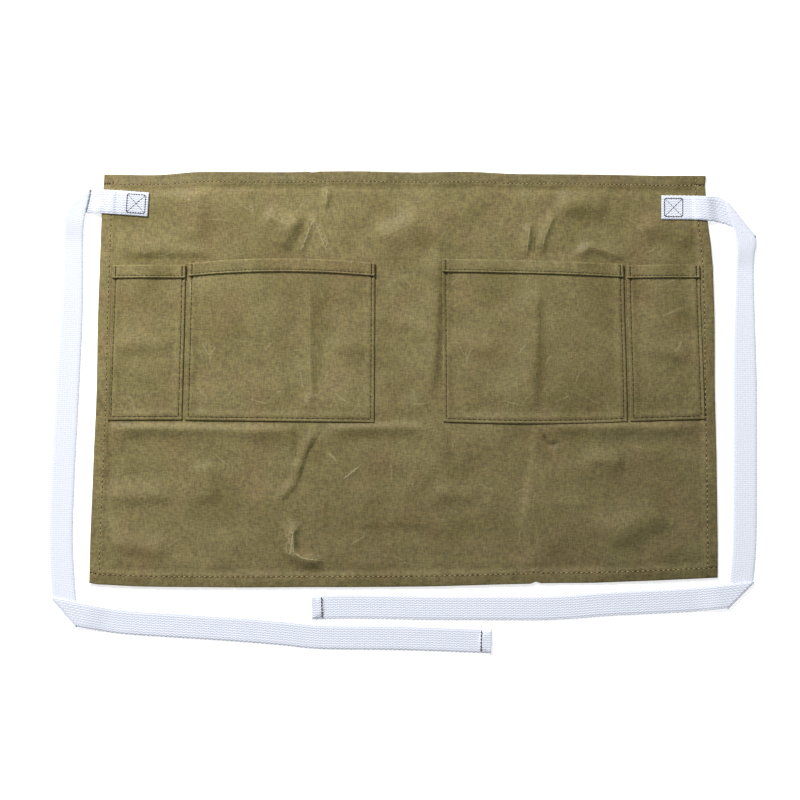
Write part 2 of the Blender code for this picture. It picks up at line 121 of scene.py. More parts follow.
ROLLED = {"left": 0.19, "right": 0.27}  # the share of its width that a side run loses where it rolls

# How far the panel's edges stray from their straight or bowed lines: (share of the edge, millimetres)
WAIST_STRAY = ((0, 0), (.086, -1.6), (.162, .8), (.315, -.5), (.337, 0), (.346, -.9), (.356, 0), (.41, .1),
               (.52, -1), (.6, -.2), (.69, -1.9), (.84, -1.3), (.91, -1.2), (1, 0))
FOOT_STRAY = ((0, 0), (.017, -1.1), (.082, -2), (.2, -1.4), (.37, -.4), (.52, -.3), (.67, .6), (.702, .6),
              (.7105, 2.6), (.719, .8), (.81, -.2), (1, 0))
LEFT_STRAY = ((0, 0), (.094, 1.1), (.33, 1.1), (.55, -.3), (.7, .2), (.89, .5), (1, 0))
RIGHT_STRAY = ((0, 0), (.029, -1.5), (.11, -1), (.19, 1), (.227, 1.5), (.304, 1), (.56, -1.5), (.75, -1),
               (1, 0))
WAIST_BOW, FOOT_BOW, RIGHT_BOW = 4.0 * MM, 6.0 * MM, 4.2 * MM
STRAY_FADE = 45.0 * MM  # how far in from an edge its strays reach
PANEL_STAND = 2.2 * MM  # how far the panel stands off the table between its waves
PANEL_SETTLE = 0.6 * MM  # over what height it comes to rest on the table
EDGE_LIFT = 0.15  # the share of its lift that the panel keeps at its edges
EDGE_EASE = 24.0 * MM  # over what length the rest of it comes in
PUCKER_REACH = 9.0 * MM  # how far in the hems' puckers go, and over what length they fade
HEM_STEP_START = 0.2 * MM  # how far past its row a hem's step down starts
PANEL_FALL_START, PANEL_FALL = 0.5 * MM, 11.5 * MM  # how a tie comes down outside the panel
PANEL_SPACING, POCKET_SPACING = 2.6 * MM, 3.0 * MM  # between the mesh's points
PANEL_ROUND, POCKET_ROUND = 1.2 * MM, 0.9 * MM  # how far in a rolled edge is rounded
ROW_SINK = 0.45 * MM  # how deep a hem's row of stitches draws the canvas in
ROW_REACH = 1.1 * MM  # how wide the groove along a row is
STEP_WIDTH = 2.0 * MM  # over which a turned edge's second layer ends
POCKET_SINK, BAND_SINK = 0.4 * MM, 0.35 * MM  # the same along a pocket's edges and its band
POCKET_ROW_REACH, BAND_ROW_REACH = 0.9 * MM, 0.8 * MM
BODY_EASE = 26.0 * MM  # over what length an empty pocket's body rises from its sewn edges
CREASE_EASE = 12.0 * MM  # over what length below its band a pocket's creases start
BAND_REACH, SPARE_ENDS = 14.0 * MM, 24.0 * MM  # what of a pocket isn't stretched: at its top, and in all
CLEARANCE = 0.1 * MM  # between a pocket and the panel; other layers that press have half of it
SCRATCHES, SCRATCHED_WIDTH = 30, 0.18  # scratches on a pocket of that width
PANEL_SCRATCHES, PANEL_SCRATCH_SEED = 90, 11
SCRATCH_LENGTH, SCRATCH_BEND, SCRATCH_MARK = (5.0, 26.0), (-0.35, 0.35), (0.1, 0.38)
LIGHT_FALLOFF_SLOPE = (-0.5, 0.9)  # how much brighter the canvas is painted per metre to the right and up: painted light falloff, darker away from the key light at the upper left
WAIST_HEM_SOAK = 0.8  # the waist hem holds more wax, so it is darker
WAIST_HEM_END, WAIST_HEM_FADE = 9.0 * MM, 4.0 * MM  # where that starts to end, and over what length

# Creases pressed into the canvas. A crease's height is a share of the first line's, and its lengths are in
# millimetres: before is the width on the left hand of the line as it is drawn, after on its right hand.
# mark is how far the wax has gone pale on it, and below 0 how dark the painted shade along it is.
PANEL_CREASE_HEIGHT, POCKET_CREASE_HEIGHT = 1.9 * MM, 1.7 * MM
Crease = namedtuple("Crease", "height before after mark line")
PANEL_CREASES = tuple(Crease(*row) for row in (
    # Above the pockets
    (.9, 2, 4, .55, ((-85, 200), (-93, 184), (-104, 155))),
    (.8, 2, 3, .5, ((-91, 200), (-83, 177), (-73, 153))),
    (.3, 1.5, 1.5, .3, ((-86, 196), (-78, 176), (-69, 155))),
    (1.2, 6, 10, .1, ((-104, 200), (-112, 184), (-122, 160))),
    (1.8, 9, 14, .2, ((-140, 200), (-116, 187), (-96, 186))),
    (1.5, 3, 3, .3, ((-75, 226), (-78, 202))),
    (2.4, 10, 20, .15, ((-30, 172), (0, 184), (22, 198))),
    (1.6, 10, 20, 0, ((-206, 226), (-205, 166))),
    (1.2, 12, 4, 0, ((-290, 157), (-235, 160.5), (-185, 158))),
    (1.7, 2, 5, .5, ((127, 190), (123, 154))),
    (1.7, 2, 5, .4, ((152, 200), (141, 174), (138, 156))),
    (-.8, 1.5, 3, -.8, ((132.5, 178), (131, 157))),
    (2.2, 15, 9, 0, ((150, 206), (208, 204))),
    (1.7, 4, 5, .15, ((168, 154), (186, 165), (203, 161), (224, 152))),
    (1.4, 12, 10, 0, ((235, 190), (292, 170))),
    # Between the pockets
    (2.0, 5, 13, 0, ((35, 172), (34, 100), (30, 40), (24, 5))),
    (1.8, 5, 12, 0, ((6, 26), (22, 0), (38, -24), (47, -54))),
    (1.0, 9, 5, .1, ((-14, 86), (4, 90), (16, 80), (14, 68))),
    # Under the pockets
    (1.9, 3, 9, 0, ((-310, -16), (-250, -15), (-160, -17), (-95, -18))),
    (1.7, 3, 8, 0, ((-84, -16), (0, -14), (30, -17))),
    (1.7, 3, 9, 0, ((128, -15), (200, -14), (308, -14))),
    (1.3, 1.8, 6, .1, ((-84, -9), (-92, -29), (-100, -44), (-108, -72), (-130, -96))),
    (-.3, 1.2, 1.2, -.45, ((-76, -11), (-87, -28), (-95.5, -42), (-101, -62), (-112, -84))),
    (-1.2, 2, 2.5, -.3, ((-110, -15), (-106, -30), (-108, -54))),
    (2.8, 3, 9, .9, ((-102, -108), (-110, -121), (-109, -140), (-99, -146), (-76, -149))),
    (.1, 2, 2, .5, ((-108, -110), (-114, -122), (-113, -142), (-104, -149))),
    (.1, 2, 2, .45, ((-106, -116), (-117, -124), (-116.5, -140), (-112, -148))),
    (-3.4, 4.5, 16, 0, ((128, -8), (121, -50), (114, -90), (113, -122), (127, -158))),
    (-1.3, 2, 3, -.6, ((139, -20), (146, -33), (158, -30))),
    (1.4, 9, 14, 0, ((-198, -46), (-192, -96))),
    (1.5, 14, 8, 0, ((-305, -82), (-225, -85))),
    (1.5, 14, 8, 0, ((-300, -128), (-230, -140))),
    (1.2, 10, 7, 0, ((25, -82), (80, -84))),
    (1.8, 20, 12, 0, ((195, -134), (270, -98))),
    (.5, 12, 6, .1, ((-60, -112), (0, -108), (52, -116))),
    (1.2, 8, 8, .15, ((180, -44), (222, -50))),
    (.2, 2, 2, .7, ((-61, -68), (-42, -53))),
    (.2, 2, 2, .6, ((-75, -40), (-66, -50))),
    (.2, 2, 2, .4, ((-55, -134), (-37, -123))),
))
POCKET_CREASES = tuple(Crease(*row) for row in (
    (1.2, 3, 3, .15, ((-93, 134), (-93, 60), (-92, -8))),
    (-1.2, 6, 9, 0, ((-108, 126), (-109, 40), (-103, -6))),
    (-1.2, 9, 6, 0, ((-78, 134), (-76, 60), (-84, -8))),
    (1.0, 2, 3, .3, ((-106, 54), (-99, 22), (-92, -4))),
    (1.8, 4, 15, 0, ((134, 140), (133, 60), (129, -10))),
    (1.2, 14, 7, 0, ((-296, 67), (-220, 67))),
    (1.0, 12, 7, 0, ((-84, 66), (-32, 65))),
    (1.2, 12, 8, 0, ((42, 67), (96, 63))),
    (1.0, 12, 8, 0, ((230, 64), (296, 56))),
    (.3, 2, 2, .6, ((-212, 132), (-211, 108))),
))


def smooth(share):
    """0 below 0, 1 above 1, and an S-curve between."""
    share = np.clip(share, 0.0, 1.0)
    return share * share * (3.0 - 2.0 * share)


def mixed(a, b, share):
    """a where the share is 0 and b where it is 1."""
    return a + (b - a) * share


def bow(share):
    """An arch that is 0 at both ends and 1 half-way."""
    return 4.0 * share * (1.0 - share)


def bump(gap, width):
    """1 where the gap is 0, falling away over about the width."""
    return np.exp(-np.square(gap / width))


def through(table, share):
    """A smooth curve through a table of (share, value)."""
    places, values = np.array(table, float).T
    after = np.clip(np.searchsorted(places, share), 1, len(places) - 1)
    part = (share - places[after - 1]) / (places[after] - places[after - 1])
    return mixed(values[after - 1], values[after], smooth(part))


def spaced(start, end, step):
    """Evenly spaced numbers, no more than a step apart."""
    return np.linspace(start, end, max(2, math.ceil(abs(end - start) / step) + 1))


def noise_at(x, y, size, seed):
    """Smooth noise of about -1 to 1, whose lumps are about the size across and down."""
    across, down = size
    return np.array([noise.noise(Vector((a / across, b / down, seed))) for a, b in zip(x, y)])


# ---------------------------------------------------------------- settings


def linear(code):
    """A colour written as sRGB hex, as the linear numbers that Blender's shaders take."""
    parts = [int(code[i:i + 2], 16) / 255.0 for i in (1, 3, 5)]
    return tuple(p / 12.92 if p <= 0.04045 else ((p + 0.055) / 1.055) ** 2.4 for p in parts)


def size(name, millimetres, description):
    """A length setting."""
    return FloatProperty(name=name, description=description, default=millimetres * MM, min=0.0,
                         precision=5, unit="LENGTH")


def colour(name, code, description):
    """A colour setting."""
    return FloatVectorProperty(name=name, description=description, default=linear(code), size=3,
                               min=0.0, max=1.0, subtype="COLOR")


class CanvasSettings(bpy.types.PropertyGroup):
    """The canvas of the panel and the pockets"""

    layer: size("Layer", 0.8, "Thickness of one layer of canvas")
    hem: size("Hem", 11.2, "Depth of the hem, which is turned twice to the back")
    hem_row: size("Hem Row", 10.2, "Distance of the hem's stitches from the edge")
    ease: size("Ease", 5.5, "Over what length the canvas comes down from a hem to the table")
    wave: size("Wave", 3.6, "Height of the broad waves in the panel")
    ripple: size("Ripple", 1.3, "Height of the small waves in the panel")
    band: size("Band", 13.0, "Depth of the band along a pocket's mouth")
    margin: size("Margin", 7.0, "Depth of the cloth turned under along a pocket's sewn edges")
    pocket_row: size("Pocket Row", 3.4, "Distance of a pocket's stitches from its edge")
    band_row: size("Band Row", 10.9, "Distance of the band's stitches from the mouth")
    gape: size("Gape", 3.2, "How far an empty pocket's mouth stands open")
    body: size("Body", 1.0, "How far the middle of an empty pocket stands off the panel")
    lit: colour("Lit Canvas", "#716740", "Canvas where the wax is thin and even")
    deep: colour("Deep Canvas", "#62582F", "Canvas where the wax has soaked in")
    warm: colour("Warm Canvas", "#6F5D3A", "Canvas whose wax has browned")
    pale: colour("Pale Wax", "#A09672", "Wax that has cracked on a crease or a scratch")


class WebbingSettings(bpy.types.PropertyGroup):
    """The cotton webbing of the ties"""

    thick: size("Thickness", 1.5, "Thickness of the webbing")
    lap: size("Lap", 0.3, "Space between two runs that lie on each other")
    scallop: size("Scallop", 0.16, "How far the selvedge goes in and out between weft threads")
    pick: size("Pick", 2.2, "Length of webbing from one line of the weave to the next")
    rib: size("Rib", 2.4, "Width of one rib of the herringbone")
    turn: size("Turn", 11.5, "Length turned under at a free end")
    white: colour("White", "#DCDFE8", "Bleached cotton")
    # Painted shade: the weave's low parts between the threads take this colour
    weave_shade: colour("Shade", "#B8BFD0", "Bleached cotton between its threads")


class ThreadSettings(bpy.types.PropertyGroup):
    """The rows of stitches"""

    pitch: size("Pitch", 5.1, "Length from one stitch to the next on hems and pockets")
    fine_pitch: size("Fine Pitch", 2.6, "Length from one stitch to the next on the ties")
    width: size("Width", 0.95, "Width of the sewing thread")
    tan: colour("Tan Thread", "#94835C", "Thread of the hems")
    olive: colour("Olive Thread", "#2C2716", "Thread of the pockets")
    brown: colour("Brown Thread", "#3B2D33", "Thread of the ties")
    # Painted shade: the colour of the dark spots in the needle holes
    hole: colour("Needle Hole", "#37321E", "The dark hole that the needle leaves")


class StageSettings(bpy.types.PropertyGroup):
    """The floor, the lights and the camera"""

    camera_height: FloatProperty(name="Camera Height", description="Height of the camera over the table",
                                 default=2.0, unit="LENGTH")
    view_width: FloatProperty(name="View Width", description="Width of table that the camera sees",
                              default=0.8, unit="LENGTH")
    key: FloatProperty(name="Key Light", description="Power of the large light above the waist",
                       default=325.0, unit="POWER")
    sky: FloatProperty(name="Sky", description="Strength of the even light from all round", default=0.32)
    floor: colour("Floor", "#F7F7F7", "The pale floor")


# ---------------------------------------------------------------- the lie of the panel


def side_line(side, t):
    """The panel's side edge at t of the way down."""
    top, foot = PANEL[side, 0], PANEL[side, 1]
    x = mixed(top.x, foot.x, t) + (RIGHT_BOW * bow(t) if side > 0 else 0.0)
    return x, mixed(top.y, foot.y, t)


def panel_place(u, t):
    """The plan point at u of the way from left to right and t of the way from waist to foot."""
    (left, left_y), (right, right_y) = side_line(-1, t), side_line(1, t)
    x = mixed(left, right, u)
    y = mixed(left_y, right_y, u) + mixed(WAIST_BOW, -FOOT_BOW, t) * bow(u)
    near_waist, near_foot = (1.0 - smooth(gap * DROP / STRAY_FADE) for gap in (t, 1.0 - t))
    near_left, near_right = (1.0 - smooth(gap * WIDTH / STRAY_FADE) for gap in (u, 1.0 - u))
    y = y + MM * (through(WAIST_STRAY, u) * near_waist + through(FOOT_STRAY, u) * near_foot)
    x = x + MM * (through(RIGHT_STRAY, t) * near_right - through(LEFT_STRAY, t) * near_left)
    return x, y


def panel_share(x, y):
    """The (u, t) of plan points, found by closing in on them."""
    u = np.full(np.shape(x), 0.5)
    t = (PANEL[-1, 0].y - y) / DROP
    for _ in range(8):
        placed_x, placed_y = panel_place(u, t)
        u = u + (x - placed_x) / WIDTH
        t = t + (placed_y - y) / DROP
    return u, t


def crease_lines(x, y, creases):
    """(height, offset from the nearest crease, its mark) at plan points, the offset in millimetres."""
    height = np.zeros(len(x))
    nearest, offset, mark = np.full(len(x), 99.0), np.full(len(x), 99.0), np.zeros(len(x))
    places = np.stack((x, y), 1) / MM
    for crease in creases:
        line = np.array(crease.line, float)
        runs = np.diff(line, axis=0)
        lengths = np.hypot(*runs.T)
        gap, side, along = np.full(len(x), 999.0), np.ones(len(x)), np.zeros(len(x))
        for start, run, length, before in zip(line, runs, lengths, np.cumsum(lengths) - lengths):
            rel = places - start
            part = np.clip(rel @ run / length ** 2, 0.0, 1.0)
            away = np.hypot(*(rel - part[:, None] * run).T)
            closer = away < gap
            gap = np.where(closer, away, gap)
            side = np.where(closer, np.sign(run[0] * rel[:, 1] - run[1] * rel[:, 0]), side)
            along = np.where(closer, before + part * length, along)
        total = lengths.sum()
        fade = smooth(along / (0.25 * total)) * smooth((total - along) / (0.25 * total))
        height += crease.height * fade * bump(gap, np.where(side > 0, crease.before, crease.after))
        rank = gap + 12.0 * (1.0 - fade) + (0.0 if crease.mark else 50.0)
        closer = rank < nearest
        nearest = np.where(closer, rank, nearest)
        offset = np.where(closer, gap * side, offset)
        mark = np.where(closer, crease.mark * fade, mark)
    return height, offset, mark


def scratches(seed, count, low, high):
    """Short pale scratches in the wax, scattered over a box."""
    draw = random.Random(seed)
    made = []
    for _ in range(count):
        x, y = draw.uniform(low[0], high[0]), draw.uniform(low[1], high[1])
        length, turn = draw.uniform(*SCRATCH_LENGTH), draw.uniform(0.0, math.pi)
        bend = draw.uniform(*SCRATCH_BEND)
        line = [(x, y)]
        for step in range(2):
            heading = turn + bend * step
            x, y = x + length / 2.0 * math.cos(heading), y + length / 2.0 * math.sin(heading)
            line.append((x, y))
        made.append(Crease(0.0, 1, 1, draw.uniform(*SCRATCH_MARK), tuple(line)))
    return tuple(made)


def panel_lift(x, y, canvas):
    """How far the panel's back would stand off the table away from its edges."""
    broad = canvas.wave * (noise_at(x, y, (0.15, 0.11), 1.7) + 0.6 * noise_at(x, y, (0.07, 0.06), 5.1))
    small = canvas.ripple * noise_at(x, y, (0.03, 0.024), 9.3)
    wanted = PANEL_STAND + broad + small + PANEL_CREASE_HEIGHT * crease_lines(x, y, PANEL_CREASES)[0]
    return 0.5 * (wanted + np.sqrt(wanted ** 2 + PANEL_SETTLE ** 2))


def rounded(gap, radius):
    """How much of its half thickness a sheet has this far in from a rounded edge."""
    part = np.clip(1.0 - gap / radius, 0.0, 1.0)
    return np.maximum(np.sqrt(1.0 - part ** 2), 0.08)


def hem_gaps(u, t):
    """How far in from the nearest side edge, and from the waist or foot, a point lies."""
    return np.minimum(u, 1.0 - u) * WIDTH, np.minimum(t, 1.0 - t) * DROP


def panel_front(x, y, u, t, canvas):
    """The height of the panel's front."""
    across, down = hem_gaps(u, t)
    inside = np.minimum(across, down)
    hem = 1.0 - smooth((inside - canvas.hem_row - HEM_STEP_START) / canvas.ease)
    lift = panel_lift(x, y, canvas) * mixed(EDGE_LIFT, 1.0, smooth(inside / EDGE_EASE))
    near_edge = 1.0 - smooth((inside - PUCKER_REACH) / PUCKER_REACH)
    pucker = 0.5 * canvas.ripple * noise_at(x, y, (0.006, 0.006), 3.3) * near_edge
    rows = np.maximum(bump(across - canvas.hem_row, ROW_REACH) * (down > 4.0 * MM),
                      bump(down - canvas.hem_row, ROW_REACH))
    return canvas.layer * (1.0 + 2.7 * hem) + lift + pucker - ROW_SINK * rows


def front_at(x, y, canvas):
    """The height of the panel's front at plan points, which falls to the table outside the panel."""
    x, y = np.atleast_1d(np.asarray(x, float)), np.atleast_1d(np.asarray(y, float))
    u, t = panel_share(x, y)
    outside = np.maximum(np.maximum(-u, u - 1.0) * WIDTH, np.maximum(-t, t - 1.0) * DROP)
    u, t = np.clip(u, 0.0, 1.0), np.clip(t, 0.0, 1.0)
    return panel_front(x, y, u, t, canvas) * (1.0 - smooth((outside - PANEL_FALL_START) / PANEL_FALL))


# ---------------------------------------------------------------- making meshes


def grid(columns, rows):
    """A bmesh grid, and the (column, row) of each of its vertices."""
    bm = bmesh.new()
    bmesh.ops.create_grid(bm, x_segments=columns - 1, y_segments=rows - 1, size=1.0)
    cells = [(round((vert.co.x + 1.0) / 2.0 * (columns - 1)), round((vert.co.y + 1.0) / 2.0 * (rows - 1)))
             for vert in bm.verts]
    return bm, cells


def closed_rings(rings):
    """A closed skin over rings of points, all of one length, with both ends filled."""
    count, size_of = len(rings), len(rings[0])
    bm, cells = grid(size_of + 1, count)
    for vert, (column, row) in zip(bm.verts, cells):
        vert.co = rings[row][column % size_of]
    seam = [vert for vert, (column, _) in zip(bm.verts, cells) if column in (0, size_of)]
    bmesh.ops.remove_doubles(bm, verts=seam, dist=1e-7)
    rims = [edge for edge in bm.edges if edge.is_boundary]
    bmesh.ops.holes_fill(bm, edges=rims, sides=0)
    return bm


def add_values(mesh, **values):
    """Adds a number per vertex under each name, for the materials to read."""
    for name, numbers in values.items():
        mesh.attributes.new(name, "FLOAT", "POINT").data.foreach_set("value", np.asarray(numbers, np.float32))


def finished(name, bm, materials, body, replaces=()):
    """Links the bmesh as a smooth piece on its body, in place of the CAD nodes it stands for."""
    bmesh.ops.recalc_face_normals(bm, faces=bm.faces)
    mesh = bpy.data.meshes.new(name)
    bm.to_mesh(mesh)
    bm.free()
    mesh.shade_smooth()
    for each in materials:
        mesh.materials.append(each)
    piece = bpy.data.objects.new(name, mesh)
    bpy.context.scene.collection.objects.link(piece)
    if body:
        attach(piece, body)
    if replaces:
        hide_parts(*replaces)
    return piece


def points_of(piece):
    """The places of a piece's vertices."""
    values = np.zeros(len(piece.data.vertices) * 3, np.float32)
    piece.data.vertices.foreach_get("co", values)
    return values.reshape(-1, 3).astype(float)


def add_wax_values(piece, creases):
    """Each vertex's signed distance to the nearest crease or scratch, how strongly that is marked (below 0 as
    painted shade), and how bright the canvas is painted there: darker away from the key light, as painted
    light falloff, and darker on the waist hem, which holds more wax."""
    places = points_of(piece)
    _, offset, mark = crease_lines(places[:, 0], places[:, 1], creases)
    below_waist = panel_share(places[:, 0], places[:, 1])[1] * DROP
    # Brighter towards the upper left, where the key light is: painted light falloff
    soak = 1.0 + LIGHT_FALLOFF_SLOPE[0] * places[:, 0] + LIGHT_FALLOFF_SLOPE[1] * places[:, 1]
    soak = soak * mixed(WAIST_HEM_SOAK, 1.0, smooth((below_waist - WAIST_HEM_END) / WAIST_HEM_FADE))
    add_values(piece.data, crease_offset=np.clip(offset, -30.0, 30.0), crease_mark=mark, soak=soak)


# ---------------------------------------------------------------- materials


def node(tree, kind, inputs, output=0, **settings):
    """Adds a shader node with its settings and links, and gives one of its outputs. inputs holds values or
    outputs to link, in the order of the sockets or by the sockets' names or numbers."""
    made = tree.nodes.new(f"ShaderNode{kind}")
    for name, value in settings.items():
        setattr(made, name, value)
    for key, value in dict(inputs if isinstance(inputs, dict) else enumerate(inputs)).items():
        if isinstance(value, bpy.types.NodeSocket):
            tree.links.new(value, made.inputs[key])
        else:
            made.inputs[key].default_value = value
    return made.outputs[output]


def new_material(name, roughness, specular, sheen=0.0):
    """A material, what adds a node to it, and its shader, which has what is the same all over."""
    made = bpy.data.materials.new(name)
    made.use_nodes = True
    shader = made.node_tree.nodes["Principled BSDF"]
    for key, value in {"Roughness": roughness, "Specular IOR Level": specular, "Sheen Weight": sheen,
                       "Metallic": 0.0}.items():
        shader.inputs[key].default_value = value
    return made, partial(node, made.node_tree), shader


def connect(shader, outputs):
    """Links outputs to the shader's sockets."""
    for key, output in outputs.items():
        shader.id_data.links.new(output, shader.inputs[key])


def rgba(values, share=1.0):
    """A colour for a socket, darkened or brightened to a share of itself."""
    return (*(min(1.0, part * share) for part in values), 1.0)


# Settings of the nodes that mix two colours, fade between two numbers and do sums
MIX = {"data_type": "RGBA", "clamp_factor": True}
TINT = {**MIX, "blend_type": "MULTIPLY"}
FADE = {"interpolation_type": "SMOOTHSTEP"}
ADD, TIMES, TIMES_ADD = ({"operation": name} for name in ("ADD", "MULTIPLY", "MULTIPLY_ADD"))
GRAIN = 0.55  # the roughness of every noise
# The layers of noise in the canvas: lumps per metre, detail, stretch and shift. The slubs are threads about
# 1.2 mm wide and 5 mm long, thicker than real ones of 0.6 mm so that they show.
CANVAS_NOISES = {
    "patches": (14.0, 4.0, (1.0, 1.0, 1.0), (0.0, 0.0, 0.0)),
    "blotches": (60.0, 3.0, (1.0, 1.0, 1.0), (3.0, 1.0, 0.0)),
    "warmth": (24.0, 3.0, (1.0, 1.0, 1.0), (7.0, 2.0, 0.0)),
    "warp slubs": (800.0, 1.0, (1.0, 0.25, 0.2), (0.0, 0.0, 0.0)),
    "weft slubs": (800.0, 1.0, (0.25, 1.0, 0.2), (0.3, 0.7, 0.0)),
    "ragged": (380.0, 2.0, (1.0, 1.0, 1.0), (0.0, 0.0, 5.0)),
}


def waxed_canvas(name, canvas):
    """Cotton duck soaked in wax: dull, mottled where the wax is uneven, with a slubby plain weave, and
    pale where the wax has cracked."""
    made, add, shader = new_material(name, 0.68, specular=0.4, sheen=0.04)
    place = add("TexCoord", (), "Object")
    noises = {}
    for layer, (scale, detail, stretch, shift) in CANVAS_NOISES.items():
        moved = add("Mapping", {"Vector": place, "Location": shift, "Scale": stretch})
        noises[layer] = add("TexNoise", {"Vector": moved, "Scale": scale, "Detail": detail,
                                         "Roughness": GRAIN}, "Fac")
    # How deep the wax has soaked in: broad patches with smaller blotches in them
    soak = add("Mix", {0: 0.38, 2: noises["patches"], 3: noises["blotches"]})
    cloth = add("Mix", {0: add("MapRange", (soak, 0.32, 0.68), **FADE), 6: rgba(canvas.deep),
                        7: rgba(canvas.lit)}, 2, **MIX)
    browned = add("MapRange", (noises["warmth"], 0.42, 0.72, 0.0, 0.55), **FADE)
    cloth = add("Mix", {0: browned, 6: cloth, 7: rgba(canvas.warm)}, 2, **MIX)
    threads = add("Math", (noises["warp slubs"], noises["weft slubs"]), **ADD)
    light = add("MapRange", (threads, 0.72, 1.28, 0.7, 1.3))
    cloth = add("Mix", {0: 1.0, 6: cloth, 7: light}, 2, **TINT)
    # Wax bloom, pale and broken, on creases and scratches, and painted shade in the bottoms of the sharp ones
    offset, mark, wax = (add("Attribute", (), "Fac", attribute_name=key)
                         for key in ("crease_offset", "crease_mark", "soak"))
    reach = add("MapRange", (noises["ragged"], 0.35, 0.7, 0.5, 1.9), **FADE)
    away = add("Math", (add("Math", (offset,), operation="ABSOLUTE"), reach), operation="DIVIDE")
    line = add("Math", (1.0, away), operation="SUBTRACT", use_clamp=True)
    bloom_and_crease_shade = add("Math", (line, mark), **TIMES)
    cloth = add("Mix", {0: bloom_and_crease_shade, 6: cloth, 7: rgba(canvas.pale)}, 2, **MIX)
    # Painted shade: where a crease's mark is below 0, a dark line along its bottom
    cloth = add("Mix", {0: add("Math", (bloom_and_crease_shade, -0.75), **TIMES), 6: cloth,
                        7: rgba(canvas.deep, 0.22)}, 2, **MIX)
    # Dark specks of lint and pale nubs of cotton, each in a few cells that are drawn by their colour
    distance = add("TexVoronoi", {"Vector": place, "Scale": 42.0}, "Distance")
    near = add("Math", (distance, 0.03), operation="LESS_THAN")
    drawn = add("SeparateColor", (distance.node.outputs["Color"],)).node.outputs
    for draw, rarity, strength, tint in ((drawn[0], 0.8, 0.5, rgba(canvas.deep, 0.3)),
                                         (drawn[1], 0.9, 0.7, rgba(canvas.pale))):
        chosen = add("Math", (draw, rarity), operation="GREATER_THAN")
        speck = add("Math", (add("Math", (near, chosen), **TIMES), strength), **TIMES)
        cloth = add("Mix", {0: speck, 6: cloth, 7: tint}, 2, **MIX)
    # Painted light falloff: this darkens the canvas away from the key light at the upper left; it also
    # darkens the waist hem, which holds more wax
    cloth = add("Mix", {0: 1.0, 6: cloth, 7: wax}, 2, **TINT)
    relief = add("Math", (noises["blotches"], 0.9), **TIMES)
    for height, share in ((bloom_and_crease_shade, 0.9), (threads, 0.22)):
        relief = add("Math", (height, share, relief), **TIMES_ADD)
    connect(shader, {"Base Color": cloth,
                     "Roughness": add("MapRange", (soak, 0.35, 0.65, 0.62, 0.76), **FADE),
                     "Normal": add("Bump", {"Strength": 1.0, "Distance": 0.5 * MM, "Height": relief})})
    return made


def cotton_webbing(name, webbing, rib, pick, pick_depth, rib_depth):
    """Bleached cotton tape, woven on a narrow loom: matt, with raised picks and ribs that zigzag, and painted
    shade in the low parts of the weave.
    """
    made, add, shader = new_material(name, 0.88, specular=0.25, sheen=0.15)
    across, along = (add("Attribute", (), "Fac", attribute_name=key) for key in ("across", "along"))
    # Along is counted from 1 m before the webbing's start, so that it is never below 0
    zigzag = add("Math", (add("Math", (along, 1.0), **ADD), pick), operation="PINGPONG")
    turn = add("Math", (add("Math", (zigzag, 0.5, across), **TIMES_ADD), math.tau / rib), **TIMES)
    picks = add("Math", (add("Math", (along, math.tau / pick), **TIMES),), operation="SINE")
    fuzz = add("TexNoise", {"Vector": add("TexCoord", (), "Object"), "Scale": 700.0, "Detail": 2.0,
                            "Roughness": GRAIN}, "Fac")
    weave = add("Math", (fuzz, 0.9), **TIMES)
    for height, share in ((add("Math", (turn,), operation="COSINE"), rib_depth), (picks, pick_depth)):
        weave = add("Math", (height, share, weave), **TIMES_ADD)
    # Painted shade: the lower the weave, the closer to the shade colour
    tint = add("MapRange", (weave, -0.45, 0.75), **FADE)
    connect(shader, {
        "Base Color": add("Mix", {0: tint, 6: rgba(webbing.weave_shade), 7: rgba(webbing.white)}, 2, **MIX),
        "Normal": add("Bump", {"Strength": 0.7, "Distance": 0.25 * MM, "Height": weave})})
    return made


def sewing_thread(name, tint):
    """Twisted sewing thread, with a soft shine and the dark lines of its twist."""
    made, add, shader = new_material(name, 0.75, specular=0.2)
    twist = add("TexNoise", {"Vector": add("TexCoord", (), "Object"), "Scale": 900.0, "Detail": 1.0,
                             "Roughness": GRAIN}, "Fac")
    connect(shader, {
        "Base Color": add("Mix", {0: add("MapRange", (twist, 0.35, 0.65), **FADE), 6: rgba(tint, 0.7),
                                  7: rgba(tint, 1.2)}, 2, **MIX),
        "Normal": add("Bump", {"Strength": 0.4, "Distance": 0.1 * MM, "Height": twist})})
    return made


def painted_hole_shade(name, tint):
    """The shadow in a needle hole: plain and dull."""
    made, add, shader = new_material(name, 0.95, specular=0.1)
    worn = add("TexNoise", {"Vector": add("TexCoord", (), "Object"), "Scale": 500.0, "Detail": 2.0,
                            "Roughness": GRAIN}, "Fac")
    connect(shader, {"Base Color": add("Mix", {0: worn, 6: rgba(tint, 0.6), 7: rgba(tint)}, 2, **MIX)})
    return made


def pale_floor(name, tint):
    """Matt white paper, even all over, with light behind it as on a light table."""
    made, _, shader = new_material(name, 0.9, specular=0.1)
    for key, value in {"Base Color": rgba(tint), "Emission Color": rgba(tint),
                       "Emission Strength": 0.6}.items():
        shader.inputs[key].default_value = value
    return made


# ---------------------------------------------------------------- the panel


def rim_stations(length, canvas):
    """Shares of a side of the panel: close together at the rolled edge and the hem's row and step."""
    rim = [0.0, 0.15 * MM, 0.5 * MM, 1.2 * MM, 3.0 * MM, 5.5 * MM, 7.8 * MM, 9.3 * MM, canvas.hem_row,
           canvas.hem - 0.1 * MM, canvas.hem + 0.15 * MM]
    start = canvas.hem + 2.0 * MM
    middle = spaced(start, length - start, PANEL_SPACING)
    return np.array([*rim, *middle, *[length - gap for gap in reversed(rim)]]) / length


